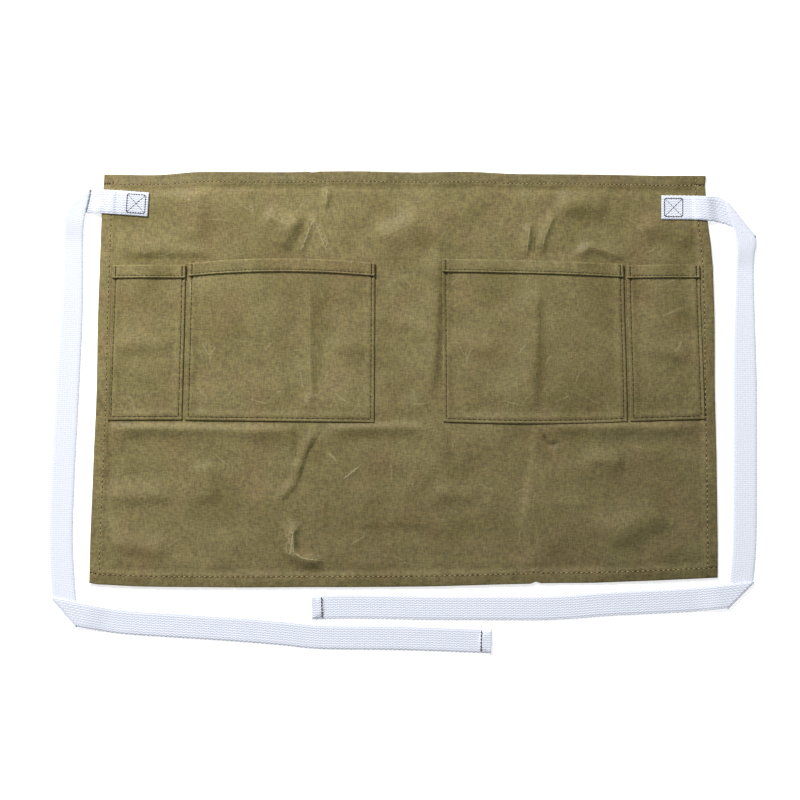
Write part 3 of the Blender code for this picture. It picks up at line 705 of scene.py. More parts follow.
def build_panel(canvas, material):
    """The hemmed panel: a grid whose copy is raised to the front, closer together at the hems."""
    across, down = rim_stations(WIDTH, canvas), rim_stations(DROP, canvas)
    bm, cells = grid(len(across), len(down))
    u = np.array([across[column] for column, _ in cells])
    t = np.array([down[row] for _, row in cells])
    x, y = panel_place(u, t)
    front = panel_front(x, y, u, t, canvas)
    gap = np.minimum(*hem_gaps(u, t))
    thick = np.where(gap < canvas.hem, 3.0, 1.0) * canvas.layer
    back = np.maximum(front - thick, CLEARANCE / 2.0)
    middle, half = (front + back) / 2.0, (front - back) / 2.0 * rounded(gap, PANEL_ROUND)
    order = {vert: i for i, vert in enumerate(bm.verts)}
    raised = bmesh.ops.extrude_face_region(bm, geom=bm.faces[:])["geom"]
    tops = [item for item in raised if isinstance(item, bmesh.types.BMVert)]
    beneath = {tuple(vert.co): i for vert, i in order.items()}
    for vert in tops:
        i = beneath[tuple(vert.co)]
        vert.co = (x[i], y[i], middle[i] + half[i])
    for vert, i in order.items():
        vert.co = (x[i], y[i], middle[i] - half[i])
    piece = finished("apron_panel", bm, [material], "apron", ["panel"])
    low, high = (-300.0, -160.0), (300.0, 230.0)
    add_wax_values(piece, PANEL_CREASES + scratches(PANEL_SCRATCH_SEED, PANEL_SCRATCHES, low, high))


# ---------------------------------------------------------------- the pockets

Pocket = namedtuple("Pocket", "name mouth_left mouth_right foot_left foot_right mouth_bow foot_bow")


def pocket_from_frame(name):
    """A pocket's corners, and how far its mouth and its foot bow out, as the CAD has them."""
    node_name = f"{name}_pocket"
    corners = [node_corner(node_name, *way) for way in ((-1, 1), (1, 1), (-1, -1), (1, -1))]
    mouth_bow = node_middle_end(node_name, 1) - (corners[0].y + corners[1].y) / 2.0
    foot_bow = (corners[2].y + corners[3].y) / 2.0 - node_middle_end(node_name, -1)
    return Pocket(name, *corners, max(0.0, mouth_bow), max(0.0, foot_bow))


def pocket_place(pocket, s, down):
    """The plan point at s of the way across a pocket and this far below its mouth."""
    top_x, top_y = (mixed(pocket.mouth_left[i], pocket.mouth_right[i], s) for i in (0, 1))
    foot_x, foot_y = (mixed(pocket.foot_left[i], pocket.foot_right[i], s) for i in (0, 1))
    top_y, foot_y = top_y + pocket.mouth_bow * bow(s), foot_y - pocket.foot_bow * bow(s)
    depth, spare = top_y - foot_y, pocket_depth(pocket)
    down = down + (depth - spare) * np.clip((down - BAND_REACH) / (spare - SPARE_ENDS), 0.0, 1.0)
    return mixed(top_x, foot_x, down / depth), top_y - down


def pocket_width(pocket):
    """The pocket's width at its mouth."""
    return (pocket.mouth_right - pocket.mouth_left).length


def pocket_depth(pocket):
    """The pocket's depth at its shallower side."""
    return min(pocket.mouth_left.y - pocket.foot_left.y, pocket.mouth_right.y - pocket.foot_right.y)


def pocket_open(pocket, s, down, canvas):
    """How far the pocket's inside stands off the panel."""
    width, depth = pocket_width(pocket), pocket_depth(pocket)
    side = np.minimum(s, 1.0 - s) * width - canvas.margin
    foot = depth - down - canvas.margin
    mouth = canvas.gape * smooth(side / (0.42 * width)) * (1.0 - smooth(down / (0.45 * depth)))
    body = canvas.body * smooth(side / BODY_EASE) * smooth(foot / BODY_EASE)
    return mouth + body


def pocket_cloth(pocket, s, down, canvas):
    """The thickness of the pocket's front over its inside: its body, its turned edges and its band."""
    width, depth = pocket_width(pocket), pocket_depth(pocket)
    side, foot = np.minimum(s, 1.0 - s) * width, depth - down
    turned = 1.0 - smooth((np.minimum(side, foot) - canvas.margin) / STEP_WIDTH)
    row = np.maximum(bump(side - canvas.pocket_row, POCKET_ROW_REACH),
                     bump(foot - canvas.pocket_row, POCKET_ROW_REACH))
    banded = down < canvas.band - 0.5 * MM
    band_row = bump(down - canvas.band_row, BAND_ROW_REACH)
    layers = 1.0 + turned + np.where(banded, 2.0, 0.0)
    return canvas.layer * layers - POCKET_SINK * row - np.where(banded, BAND_SINK * band_row, 0.0)


def pocket_under(pocket, s, down, canvas):
    """The height of the pocket's inside."""
    x, y = pocket_place(pocket, s, down)
    creases = POCKET_CREASE_HEIGHT * crease_lines(x, y, POCKET_CREASES)[0]
    pressed = creases * smooth((down - canvas.band) / CREASE_EASE)
    lifted = np.maximum(0.0, pocket_open(pocket, s, down, canvas) + pressed)
    return front_at(x, y, canvas) + CLEARANCE + lifted


def pocket_front(pocket, s, down, canvas):
    """The height of the pocket's front."""
    return pocket_under(pocket, s, down, canvas) + pocket_cloth(pocket, s, down, canvas)


def pocket_profile(depth, canvas):
    """The pocket cut from mouth to foot, as (distance below the mouth, height, part): up the inside, over
    the rolled mouth, down the band, under its edge, or lip, and down the front. The lip's heights are in
    metres, and the others are shares of the cloth's thickness."""
    layer, band = canvas.layer, canvas.band
    inside = [(down, 0.0) for down in spaced(depth - 0.9 * MM, 1.6 * MM, 3.0 * MM)]
    roll = [(1.2 * MM * (1.0 - math.sin(turn)), 0.5 - 0.5 * math.cos(turn))
            for turn in np.linspace(0.25, math.pi - 0.25, 6)]
    face = [(down, 1.0) for down in
            (1.8 * MM, 4.0 * MM, 6.5 * MM, 8.8 * MM, 10.0 * MM, canvas.band_row, 11.7 * MM)]
    lip = [(band + gap * MM, level * layer) for gap, level in
           ((-0.62, 3.3), (-0.1, 3.1), (0.15, 2.5), (0.0, 1.9), (-0.5, 1.5), (-1.6, 1.3), (-1.6, 1.0))]
    front = [(down, 1.0) for down in
             (band + 0.2 * MM, band + 1.5 * MM,
              *spaced(band + 3.5 * MM, depth - canvas.margin - 2.5 * MM, 3.0 * MM))]
    foot = [(depth - gap, 1.0) for gap in
            (canvas.margin, 5.5 * MM, 4.4 * MM, canvas.pocket_row, 2.5 * MM, 1.6 * MM, 0.9 * MM)]
    edge = [(depth - 0.3 * MM, 0.85), (depth, 0.5), (depth - 0.3 * MM, 0.15)]
    parts = ((inside, "cloth"), (roll, "cloth"), (face, "cloth"), (lip, "lip"), (front, "cloth"),
             (foot, "cloth"), (edge, "cloth"))
    return [(down, level, part) for points, part in parts for down, level in points]


def pocket_stations(width, canvas):
    """Shares of a pocket's width: close together at its rolled edges and its rows."""
    rim = [0.0, 0.12 * MM, 0.4 * MM, 0.9 * MM, 2.3 * MM, canvas.pocket_row, 4.5 * MM, 6.0 * MM, 8.0 * MM]
    middle = spaced(10.0 * MM, width - 10.0 * MM, POCKET_SPACING)
    return np.array([*rim, *middle, *[width - gap for gap in reversed(rim)]]) / width


def build_pocket(pocket, canvas, material):
    """A pocket: its profile from mouth to foot, swept from its left edge to its right one."""
    width, depth = pocket_width(pocket), pocket_depth(pocket)
    profile = pocket_profile(depth, canvas)
    down = np.array([point[0] for point in profile])
    level = np.array([point[1] for point in profile])
    lip = np.array([point[2] == "lip" for point in profile])
    rings = []
    for s in pocket_stations(width, canvas):
        across = np.full(len(profile), s)
        x, y = pocket_place(pocket, across, down)
        under = pocket_under(pocket, across, down, canvas)
        cloth = pocket_cloth(pocket, across, down, canvas)
        in_from_edge = min(s, 1.0 - s) * width
        extra = canvas.layer * (1.0 - smooth((in_from_edge - canvas.margin) / STEP_WIDTH))
        height = np.where(lip, level + extra, cloth * level)
        full = np.where(lip, 3.0 * canvas.layer, cloth)
        height = full / 2.0 + (height - full / 2.0) * rounded(in_from_edge, POCKET_ROUND)
        rings.append([Vector(place) for place in zip(x, y, under + height)])
    name = f"{pocket.name}_pocket"
    piece = finished(f"{name}_cloth", closed_rings(rings), [material], "apron", [name])
    count = round(SCRATCHES * width / SCRATCHED_WIDTH)
    low, high = ([part / MM for part in corner] for corner in (pocket.foot_left, pocket.mouth_right))
    add_wax_values(piece, POCKET_CREASES + scratches(len(pocket.name) + count, count, low, high))


# ---------------------------------------------------------------- stitches

LYING = Matrix.Rotation(math.pi / 2.0, 4, "Y")  # puts a sphere's poles along the stitch
SKEW = 0.08  # how far a stitch may turn from its line
EVENNESS = (0.92, 1.06)  # between which shares of its length a stitch is made
STITCH_HEIGHT, STITCH_RISE = 0.42, 0.16  # shares of the thread's width: half its height, and its lift
HOLE_LENGTH, HOLE_HEIGHT = 0.46, 0.22 * MM  # the length is a share of the space between two stitches
TACK_OFFSET = 0.9 * MM  # how far above its row a back tack lies
TIE_CLEARANCE = 1.0 * MM  # from the tie to the hem's row that it hides
CORNER_TACK = 1.6 * MM  # half the length of the tack at the end of a pocket's band


def along_line(points, pitch):
    """(place, heading, pitch) of each stitch along a line of points, with a whole number of stitches."""
    points = np.asarray(points, float)
    steps = np.linalg.norm(np.diff(points, axis=0), axis=1)
    travelled = np.concatenate(([0.0], np.cumsum(steps)))
    count = max(1, round(travelled[-1] / pitch))
    pitch = travelled[-1] / count
    for i in range(count):
        at = (i + 0.5) * pitch
        here, ahead = (np.array([np.interp(at + gap, travelled, points[:, k]) for k in range(3)])
                       for gap in (-0.2 * pitch, 0.2 * pitch))
        yield Vector((here + ahead) / 2.0), Vector(ahead - here).normalized(), pitch


def add_stitches(bm, points, pitch, width, draw, share, holes=True):
    """Short bars of thread along a line, a little uneven, with a dark spot of painted shade in the needle
    hole between one and the next.
    Share is how much of its pitch a stitch covers."""
    for place, heading, step in along_line(points, pitch):
        yaw = math.atan2(heading.y, heading.x) + draw.uniform(-SKEW, SKEW)
        climb = -math.asin(max(-1.0, min(1.0, heading.z)))
        turn = Matrix.Rotation(yaw, 4, "Z") @ Matrix.Rotation(climb, 4, "Y")
        scale = Matrix.Diagonal((step * share / 2.0 * draw.uniform(*EVENNESS), width / 2.0,
                                 width * STITCH_HEIGHT, 1.0))
        lift = Vector((0.0, 0.0, width * STITCH_RISE))
        bmesh.ops.create_uvsphere(bm, u_segments=6, v_segments=4, radius=1.0,
                                  matrix=Matrix.Translation(place + lift) @ turn @ scale @ LYING)
        # A dark spot in the needle hole: painted shade
        if holes:
            scale = Matrix.Diagonal((step * (1 - share) * HOLE_LENGTH, width * 0.5, HOLE_HEIGHT, 1.0))
            made = bmesh.ops.create_uvsphere(
                bm, u_segments=6, v_segments=3, radius=1.0,
                matrix=Matrix.Translation(place - heading * step / 2.0) @ turn @ scale)
            for face in {face for vert in made["verts"] for face in vert.link_faces}:
                face.material_index = 1


def on_front(x, y, canvas):
    """Points on the panel's front, over plan points."""
    x, y = np.asarray(x, float), np.asarray(y, float)
    return np.stack((x, y, front_at(x, y, canvas)), 1)


def hem_line(edge, canvas):
    """The stitches' line along one hem, on the panel's front."""
    across, down = canvas.hem_row / WIDTH, canvas.hem_row / DROP
    if edge in ("waist", "foot"):
        t = down if edge == "waist" else 1.0 - down
        u = np.linspace(0.002, 0.998, 260)
        return on_front(*panel_place(u, np.full(len(u), t)), canvas)
    u = across if edge == "left" else 1.0 - across
    t = np.linspace(0.25 * down, 1.0 - down, 400)
    return on_front(*panel_place(np.full(len(t), u), t), canvas)


def back_tacks(edge, canvas):
    """The short doubled lines where a hem's row starts and ends, at the corners."""
    t = canvas.hem_row / DROP if edge == "waist" else 1.0 - canvas.hem_row / DROP
    for u in (np.linspace(0.001, 0.012, 8), np.linspace(0.999, 0.984, 8)):
        line = on_front(*panel_place(u, np.full(len(u), t)), canvas)
        line[:, 1] += TACK_OFFSET
        yield line


def clear_of_tie(line, label):
    """The parts of a side hem's row above and below the tie that is sewn over it."""
    middle = np.interp(abs(line[0][0]) / MM, *np.array([(abs(x), y) for x, y in ROUTES[label].sewn]).T) * MM
    reach = WEBBING_WIDTH / 2.0 + TIE_CLEARANCE
    return line[line[:, 1] > middle + reach], line[line[:, 1] < middle - reach]


def build_hem_stitches(canvas, thread, materials):
    """The four hems' rows, and the back tacks where the waist's and the foot's start and end."""
    nodes = {"waist": "waist_hem_thread", "foot": "foot_hem_thread",
             "left": "left_side_hem_thread", "right": "right_side_hem_thread"}
    for seed, (edge, node_name) in enumerate(nodes.items()):
        bm, draw = bmesh.new(), random.Random(seed)
        lines = [hem_line(edge, canvas)]
        if edge in ("left", "right"):
            lines = clear_of_tie(lines[0], edge)
        pitch = thread.pitch * (0.82 if edge == "waist" else 1.0)
        for line in lines:
            add_stitches(bm, line, pitch, 1.25 * thread.width, draw, share=0.52)
        finished(f"{edge}_hem_stitches", bm, materials, "apron", [node_name])
        if edge in ("waist", "foot"):
            bm = bmesh.new()
            for tack in back_tacks(edge, canvas):
                add_stitches(bm, tack, 2.4 * MM, 1.1 * thread.width, draw, share=0.95, holes=False)
            finished(f"{edge}_hem_back_tacks", bm, materials[2:], "apron")


def build_pocket_stitches(pocket, canvas, thread, materials):
    """A pocket's row down one side, along the foot and up the other, its tacks and its mouth row."""
    width, depth = pocket_width(pocket), pocket_depth(pocket)
    draw = random.Random(len(pocket.name) * 7)
    s_in = canvas.pocket_row / width
    low = depth - canvas.pocket_row

    def line(s, down):
        s, down = np.broadcast_arrays(np.asarray(s, float), np.asarray(down, float))
        x, y = pocket_place(pocket, s, down)
        return np.stack((x, y, pocket_front(pocket, s, down, canvas)), 1)

    bm = bmesh.new()
    below_band = canvas.band + 0.6 * MM
    for s in (s_in, 1.0 - s_in):
        over_band = line(s, np.linspace(1.0 * MM, canvas.band - 1.2 * MM, 9))
        add_stitches(bm, over_band, 2.6 * MM, 1.35 * thread.width, draw, 0.95)
        add_stitches(bm, line(s, np.linspace(below_band, low, 60)), thread.pitch, thread.width, draw, 0.7)
        tack = line(np.full(5, s) + np.linspace(-CORNER_TACK, CORNER_TACK, 5) / width, below_band)
        tack[:, 2] += 0.5 * MM
        add_stitches(bm, tack, 3.2 * MM, 2.2 * thread.width, draw, 1.0, holes=False)
    add_stitches(bm, line(np.linspace(s_in, 1.0 - s_in, 60), low), thread.pitch, thread.width, draw, 0.7)
    name = f"{pocket.name}_pocket"
    finished(f"{name}_edge_stitches", bm, materials, "apron", [f"{name}_edge_thread"])
    bm = bmesh.new()
    clear = s_in + 2.0 * MM / width
    add_stitches(bm, line(np.linspace(clear, 1.0 - clear, 60), canvas.band_row), thread.pitch * 0.75,
                 0.8 * thread.width, draw, 0.7)
    finished(f"{name}_mouth_stitches", bm, materials, "apron", [f"{name}_mouth_thread"])


# ---------------------------------------------------------------- the ties

LEAN = 2.5  # over how many times its shift a run comes to lean along its crease
BACK_OFF = 1.2  # how many laps a run's end stops short of its crease
ROLL_IN, ROLL_OUT = 26.0 * MM, 150.0 * MM  # over what lengths a run rolls on edge and lies flat again
FALL_START, FALL = 5.0 * MM, 26.0 * MM  # how a run comes down to the table past the one below it
BOX_SIDE, BOX_INSET = 18.2 * MM, 3.0 * MM
BOX_HEADING = 12  # how many steps in the box of stitches takes its heading from
END_ROW, END_ROW_INSET = 10.3 * MM, 1.5 * MM  # from the free end, and from the selvedges
SEWN_STEP, RUN_STEP = 1.2 * MM, 1.1 * MM  # between the mesh's points
Fold = namedtuple("Fold", "place along arrive leave shift")


def curve_through(points, step):
    """A smooth plan curve through points in millimetres, as points about a step apart."""
    points = [Vector(point) * MM for point in points]
    ends = [points[0], *points, points[-1]]
    path = [points[0]]
    for before, start, end, after in zip(ends, ends[1:], ends[2:], ends[3:]):
        reach = (end - start).length / 3.0
        leave, arrive = (end - before).normalized() * reach, (after - start).normalized() * reach
        count = max(2, math.ceil((end - start).length / step) + 1)
        corners = [each.to_3d() for each in (start, start + leave, end - arrive, end)]
        path += [each.to_2d() for each in interpolate_bezier(*corners, count)[1:]]
    return path


def fold_between(path, following):
    """The fold where a path ends and the following one starts: its place, the way its crease runs, the
    headings before and after it, and how far the crease shifts a selvedge along the run."""
    arrive = (path[-1] - path[-3]).normalized()
    leave = (following[2] - following[0]).normalized()
    half_turn = arrive.angle(leave) / 2.0
    return Fold(path[-1], (arrive + leave).normalized(), arrive, leave,
                WEBBING_WIDTH / 2.0 / math.tan(half_turn))


def rulings(path, start_fold, end_fold, lap, rolled=0.0):
    """(centre, half-width vector, distance along) down a run, leaning to its creases at folded ends.
    Rolled is the share of its width that it loses after the first fold, where it stands a little on edge."""
    travelled = [0.0]
    for here, there in zip(path, path[1:]):
        travelled.append(travelled[-1] + (there - here).length)
    made = []
    for i, centre in enumerate(path):
        heading = (path[min(i + 1, len(path) - 1)] - path[max(i - 1, 0)]).normalized()
        square = Vector((-heading.y, heading.x)) * (WEBBING_WIDTH / 2.0)
        slide = Vector((0.0, 0.0))
        for fold, distance, sign in ((start_fold, travelled[i], 1.0),
                                     (end_fold, travelled[-1] - travelled[i], -1.0)):
            if fold:
                lean = fold.shift * smooth(1.0 - distance / (LEAN * fold.shift))
                crease = fold.along if fold.along.dot(square) > 0.0 else -fold.along
                slide += heading * lean * (1.0 if crease.dot(heading) > 0.0 else -1.0)
                centre = centre + heading * (sign * max(0.0, 1.0 - distance / MM) * BACK_OFF * lap)
        flat_again = smooth((travelled[i] - ROLL_IN) / ROLL_OUT)
        narrow = 1.0 - rolled * smooth(travelled[i] / ROLL_IN) * (1.0 - flat_again)
        made.append((centre, square * narrow + slide, travelled[i]))
    return made


# Round a run from its left selvedge over the top and back underneath: (share of the half width, share of
# the thickness)
WEBBING_RING = ((-1, .5), (-.985, .82), (-.95, 1), (-.72, 1.02), (-.42, 1), (-.15, .99), (.15, .99), (.42, 1),
                (.72, 1.02), (.95, 1), (.985, .82), (1, .5), (.985, .18), (.95, 0), (.72, 0), (.42, 0),
                (.15, 0), (-.15, 0), (-.42, 0), (-.72, 0), (-.95, 0), (-.985, .18))


def webbing_rings(lines, under, thick, webbing):
    """The rings of a run, and each point's place in the weave."""
    rings, across, along = [], [], []
    for centre, half, distance in lines:
        wave = math.sin(math.tau * distance / (2.0 * webbing.pick))
        scallop = 1.0 + webbing.scallop / WEBBING_WIDTH * 2.0 * wave
        places = [centre + half * (a * (scallop if abs(a) > 0.9 else 1.0)) for a, _ in WEBBING_RING]
        rings.append([Vector((*place, bottom + level * thick(place)))
                      for place, bottom, (_, level) in zip(places, under(places), WEBBING_RING)])
        across += [a * WEBBING_WIDTH / 2.0 for a, _ in WEBBING_RING]
        along += [distance] * len(WEBBING_RING)
    return rings, across, along


def build_run(name, lines, under, thick, webbing, materials, flipped, body, node_name):
    """One run of webbing. flipped puts the back of the weave uppermost."""
    rings, across, along = webbing_rings(lines, under, thick, webbing)
    bm = closed_rings(rings)
    bm.normal_update()
    bmesh.ops.recalc_face_normals(bm, faces=bm.faces)
    for face in bm.faces:
        face.material_index = int((face.normal.z > 0.0) == flipped)
    piece = finished(name, bm, materials, body, [node_name])
    add_weave_values(piece, rings, across, along)
    return piece


def add_weave_values(piece, rings, across, along):
    """Matches the finished mesh's vertices to the rings that it was made from."""
    known = {}
    flat = [point for ring in rings for point in ring]
    for point, a, b in zip(flat, across, along):
        known[tuple(round(c, 6) for c in point)] = (a, b)
    found = [known.get(tuple(round(c, 6) for c in vert.co), (0.0, 0.0)) for vert in piece.data.vertices]
    add_values(piece.data, across=[a for a, _ in found], along=[b for _, b in found])


def after_fold(fold, webbing):
    """The underside of a run that lies on the one before it at a fold, and then on the table."""
    def under(places):
        gone = np.array([(place - fold.place).dot(fold.leave) for place in places])
        return (webbing.thick + webbing.lap) * (1.0 - smooth((gone - fold.shift - FALL_START) / FALL))
    return under


def on_panel(canvas):
    """The underside of a sewn end, on the panel's front and then down to the table."""
    def under(places):
        x, y = [place.x for place in places], [place.y for place in places]
        return front_at(x, y, canvas) + CLEARANCE / 2.0
    return under


def build_bend(name, fold, half, webbing, material, bodies):
    """The webbing's turn through a crease."""
    out = (fold.arrive - fold.along * fold.arrive.dot(fold.along)).normalized()
    middle = webbing.thick + webbing.lap / 2.0
    outer, inner, into_runs = middle - 0.03 * MM, 0.35 * MM, -0.5 * MM
    turns = np.linspace(-math.pi / 2.0, math.pi / 2.0, 11)
    profile = [(into_runs, -outer), *[(outer * math.cos(a), outer * math.sin(a)) for a in turns],
               (into_runs, outer), (into_runs, inner),
               *[(inner * math.cos(a), inner * math.sin(a)) for a in reversed(turns)], (into_runs, -inner)]
    rings, across, along = [], [], []
    for a in np.linspace(-0.995, 0.995, 13):
        place = fold.place + half * float(a)
        rings.append([Vector((*(place + out * reach), middle + rise)) for reach, rise in profile])
        across += [float(a) * WEBBING_WIDTH / 2.0] * len(profile)
        along += [rise for _, rise in profile]
    piece = finished(name, closed_rings(rings), [material], None)
    add_weave_values(piece, rings, across, along)
    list(bodies)
    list(fold.place)
    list(fold.place)
    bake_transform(piece)
    return piece


def box_and_cross(lines, canvas, webbing):
    """The lines of the box of stitches with both diagonals on a sewn end."""
    start, ahead = lines[0][0], lines[BOX_HEADING][0]
    heading = (ahead - start).normalized()
    square = Vector((-heading.y, heading.x))
    centre = start + heading * (BOX_INSET + BOX_SIDE / 2.0)
    corners = [centre + (heading * a + square * b) * BOX_SIDE / 2.0
               for a, b in ((-1, -1), (1, -1), (1, 1), (-1, 1))]
    for a, b in ((0, 1), (1, 2), (2, 3), (3, 0), (0, 2), (1, 3)):
        places = [corners[a].lerp(corners[b], float(part)) for part in np.linspace(0.02, 0.98, 14)]
        line = on_front([place.x for place in places], [place.y for place in places], canvas)
        line[:, 2] += webbing.thick + CLEARANCE / 2.0
        yield line


def build_tie(label, canvas, webbing, thread, faces, threads):
    """A tie's three runs, the bends at its two folds and its stitches."""
    route = ROUTES[label]
    paths = [curve_through(points, step) for points, step in zip(route, (SEWN_STEP, RUN_STEP, RUN_STEP))]
    folds = [fold_between(*pair) for pair in zip(paths, paths[1:])]
    lines = [rulings(paths[0], None, folds[0], webbing.lap),
             rulings(paths[1], *folds, webbing.lap, rolled=ROLLED[label]),
             rulings(paths[2], folds[1], None, webbing.lap)]
    start = [0.0, lines[0][-1][2], lines[0][-1][2] + lines[1][-1][2]]
    lines = [[(centre, half, distance + before) for centre, half, distance in run]
             for run, before in zip(lines, start)]
    free_end = paths[2][-1]

    def single(place):
        return webbing.thick

    def turned_under(place):
        gap = (place - free_end).length
        return webbing.thick * (1.0 + float(1.0 - smooth((gap - webbing.turn) / (1.5 * MM))))

    names = ("sewn", "side", "end")
    bodies = ("apron", f"{label}_side_run", f"{label}_end_run")
    cad_nodes = (f"{label}_tie_sewn_end", f"{label}_tie_side_run", f"{label}_tie_end_run")
    unders = (on_panel(canvas), *(after_fold(fold, webbing) for fold in folds))
    runs = [build_run(f"{label}_tie_{name}_webbing", run, under, thick, webbing, faces, name == "side", body,
                      cad_node)
            for name, run, under, thick, body, cad_node
            in zip(names, lines, unders, (single, single, turned_under), bodies, cad_nodes)]
    bends = [build_bend(f"{label}_{name}_bend", fold, run[-1][1], webbing, faces[1], pair)
             for name, fold, run, pair in zip(("first", "second"), folds, lines, zip(bodies, bodies[1:]))]
    build_tie_stitches(label, lines, canvas, webbing, thread, threads)
    below = ("apron_panel", runs[0].name, runs[1].name)
    for piece, run, rests_on, with_pieces in zip(runs, lines, below, ([], bends, [])):
        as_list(with_pieces)


def build_tie_stitches(label, lines, canvas, webbing, thread, materials):
    """The box-X that holds the sewn end, and the row across the free end."""
    draw = random.Random(len(label))
    bm = bmesh.new()
    for i, line in enumerate(box_and_cross(lines[0], canvas, webbing)):
        pitch = thread.fine_pitch * (1.3 if i >= 4 else 1.0)
        add_stitches(bm, line, pitch, thread.width * (0.6 if i >= 4 else 1.1), draw, 0.98, holes=False)
    finished(f"{label}_tie_box_stitches", bm, materials, "apron", [f"{label}_tie_box_thread"])
    free, before = lines[2][-1][0], lines[2][-3][0]
    heading = (free - before).normalized()
    square = Vector((-heading.y, heading.x))
    centre = free - heading * END_ROW
    reach = WEBBING_WIDTH / 2.0 - END_ROW_INSET
    row = [(*(centre + square * float(a) * reach), 2.0 * webbing.thick) for a in np.linspace(-1, 1, 9)]
    bm = bmesh.new()
    add_stitches(bm, row, 1.3 * thread.fine_pitch, 1.5 * thread.width, draw, 0.9, holes=False)
    finished(f"{label}_tie_end_stitches", bm, materials, f"{label}_end_run",
             [f"{label}_tie_end_thread"])


# ---------------------------------------------------------------- operators


class APRON_OT_panel(bpy.types.Operator):
    """Lays out the hemmed canvas panel"""

    bl_idname = "apron.panel"
    bl_label = "Panel"
    bl_options = {"REGISTER", "UNDO"}

    def execute(self, context):
        canvas = context.scene.apron_canvas
        build_panel(canvas, waxed_canvas("waxed_cotton_canvas", canvas))
        return {"FINISHED"}


class APRON_OT_pockets(bpy.types.Operator):
    """Lays the four patch pockets on the panel"""

    bl_idname = "apron.pockets"
    bl_label = "Pockets"
    bl_options = {"REGISTER", "UNDO"}

    def execute(self, context):
        canvas = context.scene.apron_canvas
        cloth = waxed_canvas("waxed_pocket_canvas", canvas)
        for name in POCKETS:
            build_pocket(pocket_from_frame(name), canvas, cloth)
        return {"FINISHED"}


class APRON_OT_hem_stitches(bpy.types.Operator):
    """Sews the four hems"""

    bl_idname = "apron.hem_stitches"
    bl_label = "Hem Stitches"
    bl_options = {"REGISTER", "UNDO"}

    def execute(self, context):
        thread = context.scene.apron_thread
        materials = [sewing_thread("tan_sewing_thread", thread.tan),
                     painted_hole_shade("hem_needle_hole", thread.hole),
                     sewing_thread("dark_back_tack_thread", thread.olive)]
        build_hem_stitches(context.scene.apron_canvas, thread, materials)
        return {"FINISHED"}


class APRON_OT_pocket_stitches(bpy.types.Operator):
    """Sews the pockets' edges and mouths"""

    bl_idname = "apron.pocket_stitches"
    bl_label = "Pocket Stitches"
    bl_options = {"REGISTER", "UNDO"}

    def execute(self, context):
        thread = context.scene.apron_thread
        materials = [sewing_thread("olive_sewing_thread", thread.olive),
                     painted_hole_shade("pocket_needle_hole", thread.hole)]
        for name in POCKETS:
            build_pocket_stitches(pocket_from_frame(name), context.scene.apron_canvas, thread, materials)
        return {"FINISHED"}


class APRON_OT_ties(bpy.types.Operator):
    """Lays the two webbing ties with their folds and stitches"""

    bl_idname = "apron.ties"
    bl_label = "Ties"
    bl_options = {"REGISTER", "UNDO"}

    def execute(self, context):
        scene = context.scene
        webbing, thread = scene.apron_webbing, scene.apron_thread
        faces = [cotton_webbing("herringbone_cotton_webbing", webbing, webbing.rib, webbing.pick,
                                pick_depth=0.14, rib_depth=0.55),
                 cotton_webbing("webbing_back_rib", webbing, webbing.rib * 1.1, webbing.pick * 0.9,
                                pick_depth=0.2, rib_depth=0.12)]
        threads = [sewing_thread("brown_sewing_thread", thread.brown)]
        for label in ROUTES:
            build_tie(label, scene.apron_canvas, webbing, thread, faces, threads)
        return {"FINISHED"}


FLOOR_SIZE, FLOOR_DROP = 4.0, 0.2 * MM
LIGHT_PLACE, LIGHT_WIDTH = (-1.9, 3.1, 2.75), 0.9
SKY_TINT = (0.96, 0.98, 1.0, 1.0)
CAMERA_PLACE = (-3.2 * MM, 12.2 * MM)
SENSOR_WIDTH = 36.0


class APRON_OT_stage(bpy.types.Operator):
    """Sets the floor, the lights and the camera"""

    bl_idname = "apron.stage"
    bl_label = "Stage"
    bl_options = {"REGISTER", "UNDO"}

    def execute(self, context):
        scene, stage = context.scene, context.scene.apron_stage
        bm = bmesh.new()
        bmesh.ops.create_grid(bm, x_segments=1, y_segments=1, size=FLOOR_SIZE)
        bmesh.ops.translate(bm, verts=bm.verts, vec=(0.0, 0.0, -FLOOR_DROP))
        mesh = bpy.data.meshes.new("floor")
        bm.to_mesh(mesh)
        bm.free()
        mesh.materials.append(pale_floor("white_paper_floor", stage.floor))
        floor = bpy.data.objects.new("floor", mesh)
        scene.collection.objects.link(floor)
        add_light(scene, "key_light", LIGHT_PLACE, stage.key, LIGHT_WIDTH)
        world = bpy.data.worlds.new("even_sky")
        world.use_nodes = True
        background = world.node_tree.nodes["Background"]
        background.inputs["Color"].default_value = SKY_TINT
        background.inputs["Strength"].default_value = stage.sky
        scene.world = world
        scene.view_settings.view_transform = "Standard"
        add_camera(scene, stage)
        return {"FINISHED"}


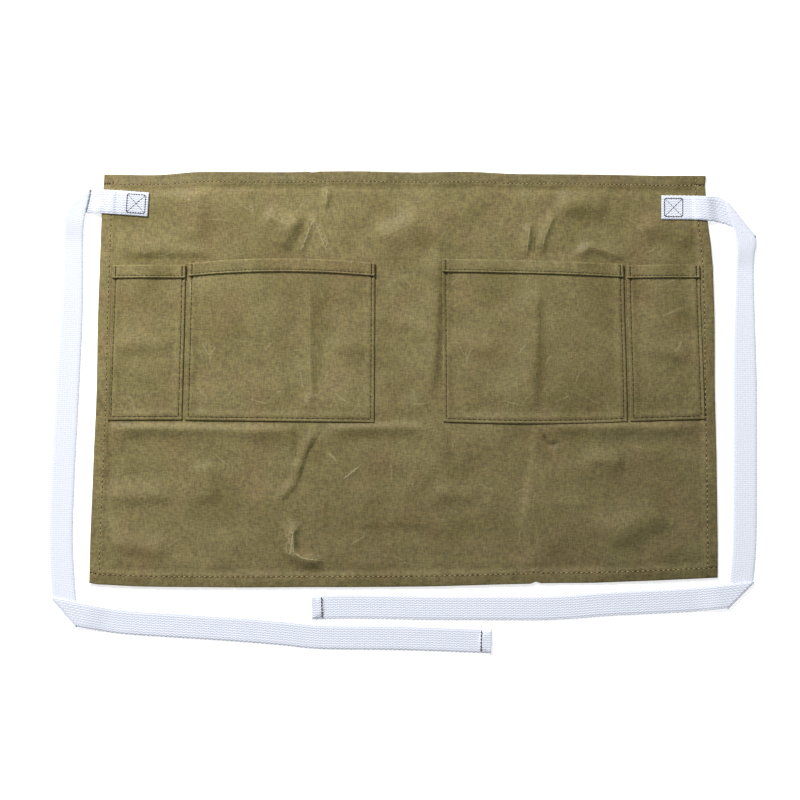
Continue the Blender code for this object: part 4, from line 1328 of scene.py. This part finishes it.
def add_light(scene, name, place, power, width):
    """A round area light, turned towards the apron."""
    light = bpy.data.lights.new(name, "AREA")
    light.shape, light.size, light.energy = "DISK", width, power
    lamp = bpy.data.objects.new(name, light)
    lamp.location = place
    lamp.rotation_mode = "QUATERNION"
    lamp.rotation_quaternion = (-Vector(place)).to_track_quat("-Z", "Y")
    scene.collection.objects.link(lamp)


def add_camera(scene, stage):
    """A camera straight above, square to the apron."""
    data = bpy.data.cameras.new("camera")
    data.sensor_width = SENSOR_WIDTH
    data.lens = data.sensor_width * stage.camera_height / stage.view_width
    camera = bpy.data.objects.new("camera", data)
    camera.location = (*CAMERA_PLACE, stage.camera_height)
    scene.collection.objects.link(camera)
    scene.camera = camera


class APRON_PT_panel(bpy.types.Panel):
    """Lists the steps that build the apron, and their sizes and colours"""

    bl_idname = "APRON_PT_panel"
    bl_label = "Waist Apron"
    bl_space_type = "VIEW_3D"
    bl_region_type = "UI"
    bl_category = "Apron"

    def draw(self, context):
        for operator in OPERATORS:
            self.layout.operator(operator.bl_idname)
        for name, kind in SETTINGS.items():
            box = self.layout.box()
            box.label(text=kind.__doc__)
            for key in kind.__annotations__:
                box.prop(getattr(context.scene, name), key)


OPERATORS = (APRON_OT_panel, APRON_OT_pockets, APRON_OT_hem_stitches, APRON_OT_pocket_stitches,
             APRON_OT_ties, APRON_OT_stage)
SETTINGS = {"apron_canvas": CanvasSettings, "apron_webbing": WebbingSettings,
            "apron_thread": ThreadSettings, "apron_stage": StageSettings}


def register():
    """Registers the add-on's classes and its settings."""
    for kind in (*SETTINGS.values(), *OPERATORS, APRON_PT_panel):
        bpy.utils.register_class(kind)
    for name, kind in SETTINGS.items():
        setattr(bpy.types.Scene, name, PointerProperty(type=kind))


def unregister():
    """Takes the add-on's settings and classes away again."""
    for name in SETTINGS:
        delattr(bpy.types.Scene, name)
    for kind in reversed((*SETTINGS.values(), *OPERATORS, APRON_PT_panel)):
        bpy.utils.unregister_class(kind)


def main():
    """Builds the apron step by step."""
    register()
    for operator in OPERATORS:
        group, name = operator.bl_idname.split(".")
        getattr(getattr(bpy.ops, group), name)()
    bpy.context.view_layer.update()


if __name__ == "__main__":
    main()
